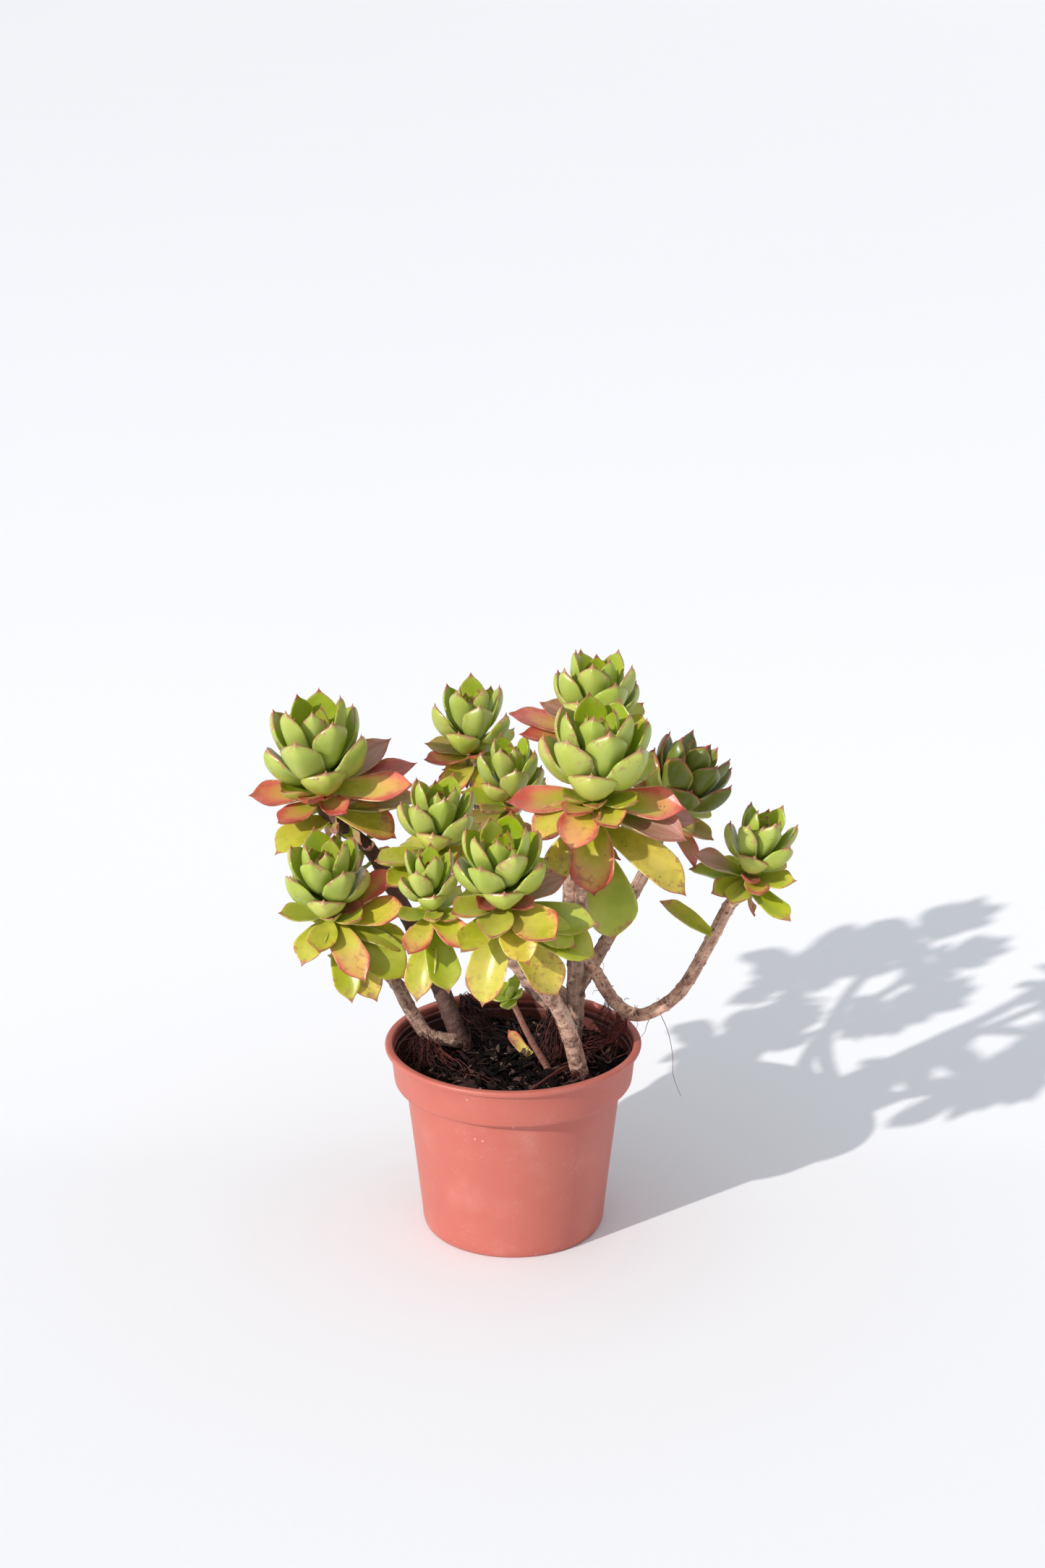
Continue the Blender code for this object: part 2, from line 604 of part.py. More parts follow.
def make_leaf(form, seat, axis, azimuth, angle):
    """A leaf that leaves a stalk at an azimuth, its chord at an angle from the axis.

    The seat is a point on the axis and the distance from it at which the leaf is rooted.
    """
    across = (Vector((1, 0, 0)) - axis * axis.x).normalized()
    away = axis.cross(across)
    turn = math.radians(azimuth)
    outward = across * math.cos(turn) + away * math.sin(turn)
    start = math.radians(angle + form.bend / 2.0)
    forward = axis * math.cos(start) + outward * math.sin(start)
    up = axis * math.sin(start) - outward * math.cos(start)
    up = (up + (LIGHT - forward * LIGHT.dot(forward)) * form.facing).normalized()
    middle, sink = seat
    return Leaf(middle + outward * sink, forward, up, form.length, form.width, form.thick, form.bend,
                form.neck)


class Crowd:
    """Solids placed so far, so that a new leaf can be kept clear of other nodes."""

    def __init__(self):
        self.shapes = []

    def add(self, node, vertices, faces):
        """Remember one placed shape."""
        tree = BVHTree.FromPolygons(vertices, faces)
        middle = sum(vertices, Vector()) / len(vertices)
        reach = max((vertex - middle).length for vertex in vertices)
        self.shapes.append((node, tree, middle, reach))

    def is_clear(self, node, vertices, faces):
        """True if a shape crosses no other node."""
        tree = BVHTree.FromPolygons(vertices, faces)
        middle = sum(vertices, Vector()) / len(vertices)
        reach = max((vertex - middle).length for vertex in vertices)
        for other, other_tree, other_middle, other_reach in self.shapes:
            near = (middle - other_middle).length < reach + other_reach
            if other != node and near and tree.overlap(other_tree):
                return False
        return True


def nudges():
    """Small changes of azimuth and angle, the smallest first."""
    changes = [(0.0, 0.0)]
    for ring in range(1, NUDGE_RINGS + 1):
        for index in range(NUDGE_DIRECTIONS):
            turn = math.tau * index / NUDGE_DIRECTIONS
            changes.append((ring * NUDGE_STEP * math.cos(turn), ring * NUDGE_STEP * math.sin(turn)))
    return changes


def settle(crowd, node, form, seat, axis, azimuth, angle):
    """Bend a leaf clear of its neighbours, shorten it if need be, or leave it out."""
    for share in SHORTENINGS:
        smaller = form._replace(length=form.length * share, width=form.width * share)
        for turn, tilt in nudges():
            leaf = make_leaf(smaller, seat, axis, azimuth + turn, angle + tilt)
            if crowd.is_clear(node, *leaf_shape(leaf, GAP)):
                crowd.add(node, *leaf_shape(leaf))
                return leaf
    return None


def core_radius(rosette, rise):
    """Radius of a head's core at a height above its base."""
    foot, top = rosette.radius * CORE_FOOT_SHARE, rosette.radius * CORE_TOP_SHARE
    return foot + (top - foot) * min(1.0, rise / (rosette.height * CORE_HEIGHT_SHARE))


def head_leaves(crowd, name):
    """Green leaves of a head on a golden-angle spiral, the outermost first."""
    rosette = ROSETTES[name]
    axis = head_axis(rosette)
    outer, inner = rosette.radius * REACH_SHARE, rosette.height * INNER_SHARE
    leaves = []
    for index in range(rosette.count):
        share = min(1.0, index / (rosette.count - 1 - BUD_LEAVES))
        bud = max(0, index - (rosette.count - 1 - BUD_LEAVES)) / BUD_LEAVES
        lowest = max(0.0, 1.0 - index / 3.0)
        azimuth = rosette.turn + rosette.hand * GOLDEN_ANGLE * index
        angle = INNER_LEAF_ANGLE + (OUTER_LEAF_ANGLE - INNER_LEAF_ANGLE) * (1.0 - share)
        angle += (BUD_LEAF_ANGLE - INNER_LEAF_ANGLE) * bud
        length = (outer + (inner - outer) * share) * (1.0 - LOWEST_SHORTER * lowest)
        length *= 1.0 - (1.0 - BUD_LENGTH_SHARE) * bud
        width = rosette.width * (OUTER_WIDTH_SHARE - WIDTH_TAPER * share ** 1.6)
        width *= 1.0 - (1.0 - BUD_WIDTH_SHARE) * bud
        form = Form(length, width, width * HEAD_THICKNESS, HEAD_BEND * (1.0 - 0.6 * share), HEAD_NECK, 0.0)
        rise = LOWEST_RISE + (rosette.height * RISE_SHARE - LOWEST_RISE) * share ** 1.35
        seat = (Vector(rosette.base) + axis * rise, core_radius(rosette, rise) * ROOT_SHARE)
        leaf = settle(crowd, "head_" + name, form, seat, axis, azimuth, angle + LOWEST_SPREAD * lowest)
        if leaf:
            leaves.append(leaf)
    return leaves


def old_leaf_rows(name):
    """Old leaves of a rosette: those listed, then some by rule on the side turned away."""
    rosette = ROSETTES[name]
    rows = list(OLD_LEAVES[name])
    for index, azimuth in enumerate(HIDDEN_SIDE_AZIMUTHS):
        share = index / (len(HIDDEN_SIDE_AZIMUTHS) - 1)
        angle = HIDDEN_SIDE_ANGLES[0] + (HIDDEN_SIDE_ANGLES[1] - HIDDEN_SIDE_ANGLES[0]) * share
        drop = 2.5 + (rosette.skirt - 6.0) * share
        rows.append((drop, azimuth, angle, rosette.radius * (HIDDEN_SIDE_REACH - 0.1 * share),
                     rosette.width * 0.95))
    return rows


def skirt_leaves(crowd, name, curve):
    """Old leaves below a head, spreading at the top and drooping lower down."""
    rosette = ROSETTES[name]
    axis = head_axis(rosette)
    leaves = []
    for drop, azimuth, angle, length, width in old_leaf_rows(name):
        seat = (walk(curve, 0.0, drop, drop)[-1], rosette.radius * STALK_SHARE * ROOT_SHARE)
        bend = SKIRT_BEND if angle < 100 else DROOP_BEND
        form = Form(length, width, width * SKIRT_THICKNESS, bend, SKIRT_NECK, SKIRT_FACING)
        leaf = settle(crowd, "skirt_" + name, form, seat, axis, azimuth, angle)
        if leaf:
            leaves.append(leaf)
    return leaves


def leaf_objects(name, leaves, collection):
    """One object for each leaf of a node."""
    items = []
    for index, leaf in enumerate(leaves):
        label = "%s_%d" % (name, index)
        items.append(add_object(label, mesh_from(label, *leaf_shape(leaf)), collection))
    return items


# Stems, heads and skirts

def stem_run(branch, curve):
    """Points and radii of the bare part of a stem, below its old leaves."""
    start = ROSETTES[branch.rosette].skirt + GAP
    points = walk(curve, start, start + JOINT_LENGTH, JOINT_LENGTH)[:1]
    points += walk(curve, start + JOINT_LENGTH, None, STEM_STEP)
    last = len(points) - 1
    radii = [branch.top_radius + (branch.foot_radius - branch.top_radius) * index / last
             for index in range(last + 1)]
    return points, radii


def sleeve_run(name, curve):
    """Points and radii of the leafy stretch of a stem, its ends square to the stem."""
    rosette = ROSETTES[name]
    points = walk(curve, GAP / 2.0, GAP / 2.0 + JOINT_LENGTH, JOINT_LENGTH)[:1]
    points += walk(curve, GAP / 2.0 + JOINT_LENGTH, rosette.skirt - JOINT_LENGTH, SLEEVE_STEP)
    points += walk(curve, rosette.skirt - JOINT_LENGTH, rosette.skirt, JOINT_LENGTH)[1:]
    return points, [rosette.radius * STALK_SHARE] * len(points)


def core_run(name):
    """Ends and radii of the short tapered core that a head's leaves stand on."""
    rosette = ROSETTES[name]
    depth = rosette.height * CORE_HEIGHT_SHARE
    foot = Vector(rosette.base) + head_axis(rosette) * GAP
    ends = [foot, foot + head_axis(rosette) * depth]
    return ends, [core_radius(rosette, 0.0), core_radius(rosette, depth)]


def remember_stalks(crowd, curves):
    """Add every core and leafy stretch to the crowd, so that leaves keep clear of them."""
    for name, curve in curves.items():
        remember_tube(crowd, "skirt_" + name, *sleeve_run(name, curve))
        remember_tube(crowd, "head_" + name, *core_run(name))


def remember_tube(crowd, node, points, radii):
    """Add a tube's outline to the crowd, fat enough to hold it however its sides are turned."""
    vertices, faces = [], []
    fat = 1.0 / math.cos(math.pi / STEM_SIDES)
    for index, (point, radius) in enumerate(zip(points, radii)):
        ahead = points[min(index + 1, len(points) - 1)] - points[max(index - 1, 0)]
        frame = ahead.to_track_quat("Z", "Y").to_matrix()
        for side in range(STEM_SIDES):
            turn = math.tau * side / STEM_SIDES
            spoke = Vector((math.cos(turn), math.sin(turn), 0.0))
            vertices.append(point + frame @ spoke * radius * fat)
    for index in range(len(points) - 1):
        low = index * STEM_SIDES
        for i in range(STEM_SIDES):
            j = (i + 1) % STEM_SIDES
            faces.append((low + i, low + j, low + STEM_SIDES + j, low + STEM_SIDES + i))
    faces.append(tuple(range(STEM_SIDES)))
    faces.append(tuple(range(len(vertices) - STEM_SIDES, len(vertices))))
    crowd.add(node, vertices, faces)


def build_stems(crowd, curves, collection, material):
    """Woody stems, the branches of each trunk fused in one solid."""
    for node, branches in TRUNKS.items():
        tubes = []
        for branch in branches:
            points, radii = stem_run(branch, curves[branch.rosette])
            tubes.append(tube("bar_" + branch.rosette, points, radii, STEM_SIDES, collection))
            remember_tube(crowd, node, points, radii)
        trunk = tubes.pop(0)
        trunk.name = node
        if tubes:
            fuse(trunk, tubes, collection)
        finish(trunk, material)


def head_core(name, collection):
    """A head's core as a solid."""
    (foot, top), (foot_radius, top_radius) = core_run(name)
    shape = bmesh.new()
    bmesh.ops.create_cone(shape, cap_ends=True, segments=8, radius1=foot_radius * MM,
                          radius2=top_radius * MM, depth=(top - foot).length * MM)
    turn = (top - foot).to_track_quat("Z", "Y").to_matrix().to_4x4()
    shape.transform(Matrix.Translation((foot + top) * 0.5 * MM) @ turn)
    mesh = bpy.data.meshes.new("head_" + name)
    shape.to_mesh(mesh)
    shape.free()
    return add_object("head_" + name, mesh, collection)


def finish(item, material):
    """Give a finished solid its material and shading."""
    item.data.materials.clear()
    item.data.materials.append(material)
    item.data.shade_smooth()
    item.data.set_sharp_from_angle(angle=math.radians(40))


def build_heads(crowd, collection, material):
    """Green heads, each one solid of core and leaves."""
    for name in ROSETTES:
        leaves = head_leaves(crowd, name)
        core = head_core(name, collection)
        fuse(core, leaf_objects("head_" + name, leaves, collection), collection)
        finish(core, material)


def build_skirts(crowd, curves, collection, material):
    """Old leaves of each rosette, each set one solid on the leafy end of its stem."""
    for name in ROSETTES:
        leaves = skirt_leaves(crowd, name, curves[name])
        points, radii = sleeve_run(name, curves[name])
        sleeve = tube("skirt_" + name, points, radii, STEM_SIDES, collection)
        fuse(sleeve, leaf_objects("skirt_" + name, leaves, collection), collection)
        finish(sleeve, material)


# Small separate pieces

def build_offshoot(crowd, collection, materials):
    """A thin young shoot with six small leaves."""
    points = [Vector(point) for point in reversed(OFFSHOOT_POINTS)] + [Vector(OFFSHOOT_FOOT)]
    curve = catmull_rom(points, CURVE_SAMPLES)
    top, axis = curve[0], (curve[0] - curve[8]).normalized()
    run = walk(curve, GAP, None, OFFSHOOT_STEP)
    stem = tube("offshoot_stem", run, [OFFSHOOT_RADIUS] * len(run), STEM_SIDES, collection)
    finish(stem, materials["bark"])
    shape = cylinder("offshoot_leaves", top, top + axis * OFFSHOOT_BUD_LENGTH, OFFSHOOT_BUD_RADIUS,
                     STEM_SIDES, collection)
    leaves = []
    for azimuth, angle, length, width in OFFSHOOT_LEAVES:
        form = Form(length, width, width * HEAD_THICKNESS, SKIRT_BEND, HEAD_NECK, 0.0)
        seat = (top + axis * OFFSHOOT_BUD_RADIUS, 0.5)
        leaf = settle(crowd, "offshoot_leaves", form, seat, axis, azimuth, angle)
        if leaf:
            leaves.append(leaf)
    fuse(shape, leaf_objects("offshoot_leaf", leaves, collection), collection)
    finish(shape, materials["young_leaf"])


def single_leaf(name, row, collection, material):
    """One separate leaf between two points, its upper face turned up and a little to the front."""
    root, tip, width, thickness = row
    root, tip = Vector(root), Vector(tip)
    forward = (tip - root).normalized()
    up = (SINGLE_LEAF_FACING - forward * SINGLE_LEAF_FACING.dot(forward)).normalized()
    leaf = Leaf(root, forward, up, (tip - root).length, width, thickness, 0.0, SKIRT_NECK)
    item = add_object(name, mesh_from(name, *leaf_shape(leaf)), collection)
    finish(item, material)


def main():
    clear_scene()
    collection = make_collection("potted_sedeveria")
    cutters = make_collection("cutters", hidden=True)
    materials = {name: make_material(name) for name in FINISHES}
    crowd = Crowd()
    curves = all_curves()
    build_pot(collection, cutters, materials["pot_plastic"])
    build_soil(collection, cutters, materials["soil"])
    build_stems(crowd, curves, collection, materials["bark"])
    remember_stalks(crowd, curves)
    build_heads(crowd, collection, materials["young_leaf"])
    build_skirts(crowd, curves, collection, materials["old_leaf"])
    build_offshoot(crowd, collection, materials)
    single_leaf("lone_leaf", LONE_LEAF, collection, materials["young_leaf"])
    single_leaf("shed_leaf", SHED_LEAF, collection, materials["old_leaf"])


main()
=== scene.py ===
"""Looks of the potted sedeveria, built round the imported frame.

Lengths are millimetres in the object's own frame, and MM turns them into metres where a
mesh is made. The origin is the middle of the pot's underside, +Z is up, -Y is the front.
"""
import math
from collections import namedtuple
from functools import partialmethod

import bmesh
import bpy
import numpy as np
from mathutils import Matrix, Vector, noise
from mathutils.bvhtree import BVHTree


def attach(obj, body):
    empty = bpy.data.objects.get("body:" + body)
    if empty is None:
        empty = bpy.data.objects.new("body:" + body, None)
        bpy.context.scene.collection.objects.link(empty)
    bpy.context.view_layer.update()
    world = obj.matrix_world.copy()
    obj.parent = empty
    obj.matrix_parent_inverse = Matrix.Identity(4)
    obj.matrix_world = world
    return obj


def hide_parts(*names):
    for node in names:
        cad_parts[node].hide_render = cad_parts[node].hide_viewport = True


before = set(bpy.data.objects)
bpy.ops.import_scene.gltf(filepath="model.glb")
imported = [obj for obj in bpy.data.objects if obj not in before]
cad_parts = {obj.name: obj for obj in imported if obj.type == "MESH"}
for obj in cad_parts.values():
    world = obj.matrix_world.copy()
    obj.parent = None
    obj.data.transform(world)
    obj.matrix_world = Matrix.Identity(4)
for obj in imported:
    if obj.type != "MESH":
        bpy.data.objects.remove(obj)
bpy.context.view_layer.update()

MM = 0.001
GAP = 0.3
RANDOM = np.random.default_rng(73)

# Pot
POT_HEIGHT = 81.0
LIP_RADIUS = 52.5
LIP_HEIGHT = 2.4
BAND_TOP_RADIUS = 50.2
BAND_BOTTOM_RADIUS = 49.0
BAND_BOTTOM_Z = 64.0
BODY_TOP_RADIUS = 44.1
BODY_FOOT_RADIUS = 37.9
FOOT_RADIUS = 36.3
WALL = 0.9
FLOOR = 1.2
RECESS_INNER = 10.0
RECESS_OUTER = 28.0
RECESS_DEPTH = 1.5
DRAIN_COUNT = 6
DRAIN_RADIUS = 3.0
DRAIN_CIRCLE = 19.0

# Soil
SOIL_TOP = 69.5
SOIL_RELIEF = 2.4
SOIL_LUMP = 11.0
SOIL_MOUND = 1.6
SOIL_EDGE = 47.9

# Stems
STEM_SIDES = 8
SLEEVE_STEP = 10.0
STEM_STEP = 18.0
JOINT_LENGTH = 0.8
STALK_SHARE = 0.19
HEAD_STEM = 9.0
CURVE_SAMPLES = 24

# Leaves, placed as in the solids
GOLDEN_ANGLE = 137.5
HEAD_NECK = 0.42
SKIRT_NECK = 0.3
LEAF_WIDEST = 0.7
LEAF_STATIONS = (0.0, 0.5, 0.82)
EDGE_LIFT = 0.22
TOP_SHARE = 0.15
HEAD_THICKNESS = 0.3
SKIRT_THICKNESS = 0.24
OUTER_LEAF_ANGLE = 50.0
INNER_LEAF_ANGLE = 19.0
BUD_LEAF_ANGLE = 6.0
BUD_LEAVES = 3
BUD_LENGTH_SHARE = 0.74
BUD_WIDTH_SHARE = 0.7
OUTER_WIDTH_SHARE = 1.14
WIDTH_TAPER = 0.34
REACH_SHARE = 1.26
INNER_SHARE = 0.74
RISE_SHARE = 0.29
LOWEST_RISE = 3.6
LOWEST_SHORTER = 0.3
LOWEST_SPREAD = 4.0
HEAD_BEND = 76.0
SKIRT_BEND = 22.0
SKIRT_FACING = 0.5
LIGHT = Vector((-0.2, -0.9, 0.4))
DROOP_BEND = -40.0
ROOT_SHARE = 0.65
CORE_FOOT_SHARE = 0.34
CORE_TOP_SHARE = 0.1
CORE_HEIGHT_SHARE = 0.42
NUDGE_STEP = 7.0
NUDGE_RINGS = 5
NUDGE_DIRECTIONS = 8
SHORTENINGS = (1.0, 0.85, 0.7)

Rosette = namedtuple("Rosette", "base lean radius height width count turn hand skirt")
Form = namedtuple("Form", "length width thick bend neck facing")
Leaf = namedtuple("Leaf", "root forward up length width thick bend neck")
Branch = namedtuple("Branch", "rosette foot_radius top_radius points")

ROSETTES = {
    "a": Rosette((-80.1, 42, 177.5), (-3, 10), 21.5, 39.9, 17.3, 15, 285, 1, 21),
    "b": Rosette((-17.6, 78, 181.3), (0, 4), 17.4, 30.5, 13.2, 13, 250, -1, 12.6),
    "c": Rosette((-1.8, 52, 167.5), (0, 6), 15.3, 27.4, 11.6, 13, 230, 1, 10.5),
    "d": Rosette((33, 22, 210), (2, 2), 19, 29.5, 14.5, 14, 240, 1, 12),
    "e": Rosette((32, -32, 200), (2, 8), 22.5, 35.5, 17, 16, 262, 1, 34),
    "f": Rosette((64, 28, 172.5), (29, -2), 19.5, 31, 13.5, 17, 275, 1, 14),
    "g": Rosette((95, -5, 157), (17, 8), 15.5, 27, 11, 13, 255, 1, 12),
    "h": Rosette((-30.8, 4, 164.5), (4, 9), 16.4, 28.7, 12.8, 14, 262, 1, 12.3),
    "i": Rosette((-75.3, 12, 135.3), (-2, 15), 17.4, 32.8, 14.8, 14, 270, -1, 23.3),
    "j": Rosette((-31.5, -48, 158), (-2, 10), 11.5, 25, 10, 12, 280, 1, 16),
    "k": Rosette((-3.9, -64, 168.8), (-1, 19), 17.4, 32.8, 13.9, 15, 275, 1, 19.9),
}

# Old leaves that show from the front: drop, azimuth, angle, length, width and tone
OLD_LEAVES = {
    "a": ((3.2, 190, 84, 26.3, 13.7, "red"), (2.6, 262, 72, 20, 11.6, "red"),
          (7.4, 230, 88, 23.1, 12.6, "red"), (2.6, 350, 82, 37.8, 15.8, "orange"),
          (5.3, 14, 78, 38.9, 14.7, "pink"), (4.2, 35, 68, 34.7, 14.7, "purple"),
          (1.6, 285, 66, 12.6, 8.4, "amber"), (10.5, 5, 90, 37.8, 14.7, "brown"),
          (12.6, 342, 130, 28.4, 15.8, "amber"), (16.8, 222, 102, 27.3, 14.7, "lime"),
          (2.6, 218, 68, 18.9, 13.7, "edged"), (5.3, 302, 84, 22.1, 11.6, "red")),
    "b": ((3.2, 208, 82, 21, 10.5, "red"), (2.1, 172, 70, 17.9, 9.5, "brown"),
          (2.1, 285, 70, 12.6, 8.4, "orange"), (7.4, 245, 104, 23.2, 12.6, "amber"),
          (5.3, 355, 72, 17.9, 9.5, "edged"), (8.4, 290, 108, 21, 11.6, "amber")),
    "c": ((2.1, 185, 72, 18.9, 9.5, "edged"), (3.2, 233, 76, 17.9, 9.5, "brown"),
          (2.6, 285, 72, 13.7, 8.4, "red"), (5.3, 215, 92, 21.1, 10.5, "brown"),
          (5.3, 265, 96, 20, 10.5, "orange")),
    "d": ((3, 178, 80, 32, 13, "pink"), (5, 190, 88, 28, 12, "red"),
          (4, 160, 66, 22, 11, "purple"), (3, 335, 70, 22, 12, "edged"),
          (2.5, 235, 74, 17, 11, "edged"), (2, 300, 74, 15, 9, "edged")),
    "e": ((4, 184, 90, 31, 15, "red"), (4, 350, 88, 32, 16, "red"),
          (5, 249, 108, 27, 16, "orange"), (6, 215, 112, 27, 14, "orange"),
          (4, 290, 94, 20, 13, "amber"), (7, 335, 98, 36, 16, "purple"),
          (9, 5, 96, 37, 16, "purple"), (14, 268, 138, 29, 18, "amber"),
          (29, 296, 152, 35, 20, "green"), (18, 331, 120, 42, 16, "yellow"),
          (16, 225, 140, 28, 14, "yellow"), (20, 350, 124, 34, 15, "lime"),
          (2.5, 222, 66, 17, 11, "edged"), (2.5, 268, 78, 14, 10, "edged"),
          (3.5, 240, 84, 20, 12, "amber"), (3, 318, 74, 19, 11, "lime")),
    "f": ((4, 250, 108, 24, 11, "wine"), (6, 300, 104, 27, 10, "wine"),
          (3, 325, 84, 22, 11, "brown"), (4, 165, 56, 27, 12, "pink")),
    "g": ((3, 335, 66, 18, 10, "edged"), (3, 190, 76, 25, 10, "purple"),
          (6, 315, 94, 24, 11, "green"), (5, 222, 98, 19, 10, "edged"),
          (5, 252, 98, 19, 10, "edged"), (2, 262, 76, 12, 8, "wine"),
          (8, 160, 104, 22, 10, "green"), (3, 285, 84, 15, 10, "orange")),
    "h": ((3.1, 240, 72, 16.4, 9.2, "edged"), (2, 300, 76, 14.3, 9.2, "edged"),
          (4.1, 208, 84, 25.6, 12.3, "lime"), (6.1, 250, 92, 18.4, 11.3, "orange"),
          (3.1, 340, 84, 17.4, 10.2, "yellow"), (7.2, 222, 96, 24.6, 12.3, "lime"),
          (5.1, 285, 90, 17.4, 10.2, "amber")),
    "i": ((3.2, 10, 60, 30.7, 12.7, "red"), (4.2, 345, 76, 32.8, 14.8, "amber"),
          (6.3, 264, 94, 20.1, 12.7, "lime"), (8.5, 245, 102, 23.3, 12.7, "lime"),
          (8.5, 293, 108, 31.7, 13.7, "orange"), (12.7, 322, 110, 34.9, 19, "green"),
          (15.9, 300, 122, 30.7, 13.7, "yellow"), (15.9, 280, 120, 28.5, 11.6, "green"),
          (4.2, 200, 72, 19, 10.6, "edged"), (3.2, 282, 64, 13.7, 9.5, "edged"),
          (3.2, 318, 72, 19, 11.6, "edged"), (2.1, 340, 66, 13.7, 8.5, "wine"),
          (10.6, 340, 104, 31.7, 13.7, "lime")),
    "j": ((4, 250, 98, 23, 11, "amber"), (5, 305, 100, 22, 11, "orange"),
          (3, 215, 72, 15, 8, "edged"), (11, 285, 132, 25, 13, "green"),
          (12, 255, 134, 27, 12, "lime"), (2, 280, 76, 12, 8, "edged"),
          (3, 320, 74, 14, 8, "edged")),
    "k": ((3, 212, 76, 21, 13, "edged"), (3, 262, 84, 23, 14, "lime"),
          (4, 312, 86, 29, 17, "amber"), (7, 238, 92, 26, 13, "lime"),
          (8, 288, 104, 25, 14, "yellow"), (14, 252, 134, 31.5, 16, "lime"),
          (15, 312, 132, 33, 16, "yellow"), (14, 335, 104, 36, 17, "green"),
          (8, 352, 94, 34, 15, "dark"), (9, 330, 104, 29, 13, "green"),
          (3, 12, 74, 23, 13, "purple"), (2, 320, 70, 15, 9, "wine"), (2, 232, 66, 14, 9, "wine")),
}

# How far a leaf has turned yellow, how far red covers it, and how far it has dried
TONES = {
    "green": (0.3, 0.1, 0.0),
    # dark: a green leaf given a little less yellow, as painted shade
    "dark": (0.22, 0.12, 0.0),
    "lime": (0.42, 0.4, 0.0),
    "yellow": (0.7, 0.42, 0.0),
    "amber": (0.56, 0.66, 0.0),
    "orange": (0.55, 0.72, 0.0),
    "red": (0.42, 0.92, 0.0),
    "edged": (0.3, 0.42, 0.0),
    "pink": (0.5, 0.9, 0.4),
    "purple": (0.3, 0.6, 0.85),
    "brown": (0.4, 0.4, 0.5),
    "wine": (0.15, 0.95, 0.35),
}
HIDDEN_TONES = ("edged", "lime", "green")
# Heads whose leaves are painted a darker green as shade
SHADED_HEADS = ("f",)

HIDDEN_SIDE_AZIMUTHS = (48.0, 128.0, 88.0)
HIDDEN_SIDE_REACH = 1.35
HIDDEN_SIDE_ANGLES = (80.0, 125.0)

TRUNKS = {
    "stem_left": (
        Branch("a", 4, 3, ((-71.9, 40, 159.8), (-59.1, 36, 149.9), (-47.5, 28, 131.6),
                           (-38.3, 21, 114.4), (-30.2, 15, 97.1), (-24.3, 13.5, 81.3),
                           (-19.6, 15, 68), (-18, 15.6, 50))),
        Branch("i", 3, 2.7, ((-65.3, 15, 112.6), (-50.7, 14, 102.9), (-42, 10, 88.5),
                             (-35.4, 8, 79.2), (-26.1, 10, 76.1), (-22.5, 13.5, 73.8))),
        Branch("h", 2.8, 2.6, ((-33.9, 12, 141.3), (-35.8, 17, 126.2), (-39.4, 21.5, 116))),
        Branch("j", 2.6, 2.2, ((-31, -38, 134), (-32.2, -14, 119.5), (-35.6, 18.8, 107.6))),
    ),
    "stem_front": (
        Branch("k", 3.7, 3, ((-2, -51, 140), (5, -41, 127.6), (13.7, -31, 114.3),
                             (20.7, -23, 98.4), (27.2, -15, 72), (28.5, -13, 52))),
    ),
    "stem_rear": (
        Branch("d", 4.2, 3, ((31, 17, 182), (25, 8, 158), (23.5, 8, 140), (26, 12, 105),
                             (24.2, 15, 69), (24, 15.5, 48))),
        Branch("e", 3.6, 3.2, ((30.5, -20, 165), (29.5, -6, 154), (28.5, 5, 143),
                               (25.5, 10.5, 122))),
        Branch("f", 3, 2.6, ((58, 24, 154), (51.7, 20, 142), (37.3, 14, 117), (26.5, 12, 98))),
        Branch("g", 2.8, 2.6, ((86, -3.5, 139), (79, -2, 123), (69.2, 0, 103.5), (59.7, 2, 93.7),
                               (50.1, 5, 89.5), (41.5, 9, 94), (33, 12, 107), (25.5, 12, 118))),
        Branch("c", 2.8, 2.5, ((-2.3, 51, 147.5), (-2.7, 42, 120.3), (2, 27, 102),
                               (11.1, 16, 93.2), (24.5, 14, 82))),
        Branch("b", 2.6, 2.5, ((-14.9, 73, 157.7), (-9.5, 58, 135.4), (-0.1, 36, 113.3),
                               (12.1, 20, 100.7), (25, 13, 92))),
    ),
}

OFFSHOOT_FOOT = (17.8, -8, 56)
OFFSHOOT_POINTS = ((16.1, -10, 68), (7.5, -14, 86), (1.5, -18, 101), (-0.5, -20, 107))
OFFSHOOT_RADIUS = 1.4
OFFSHOOT_BUD_RADIUS = 1.6
OFFSHOOT_BUD_LENGTH = 3.0
OFFSHOOT_SEED = 4.4
OFFSHOOT_LEAVES = ((200, 62, 8, 6), (265, 80, 8, 7), (330, 58, 7.5, 6), (60, 55, 8, 6),
                   (130, 60, 7, 6), (300, 20, 7, 4.5))
LONE_LEAF = ((79.6, -5.9, 129.6), (59.5, -10, 144.5), 9.5, 2.2)
SHED_LEAF = ((6.5, 2.8, 71.8), (-2.5, 13.0, 77.6), 5.6, 1.2)
SINGLE_LEAF_FACING = Vector((0, -0.6, 1))


def between(first, last, share):
    """What lies at a share of the way from the first to the last."""
    return first + (last - first) * share


# Placement, the same as in the solids

def soil_height(x, y):
    """Rough, slightly mounded surface of the compost."""
    radius = math.hypot(x, y)
    mound = SOIL_MOUND * (1.0 - (radius / SOIL_EDGE) ** 2)
    coarse = noise.noise(Vector((x, y, 0.0)) / SOIL_LUMP + Vector((0.0, 0.0, 3.7)))
    fine = noise.noise(Vector((x, y, 0.0)) * 3.0 / SOIL_LUMP + Vector((0.0, 0.0, 9.1)))
    return SOIL_TOP + mound + SOIL_RELIEF * (coarse + 0.5 * fine)


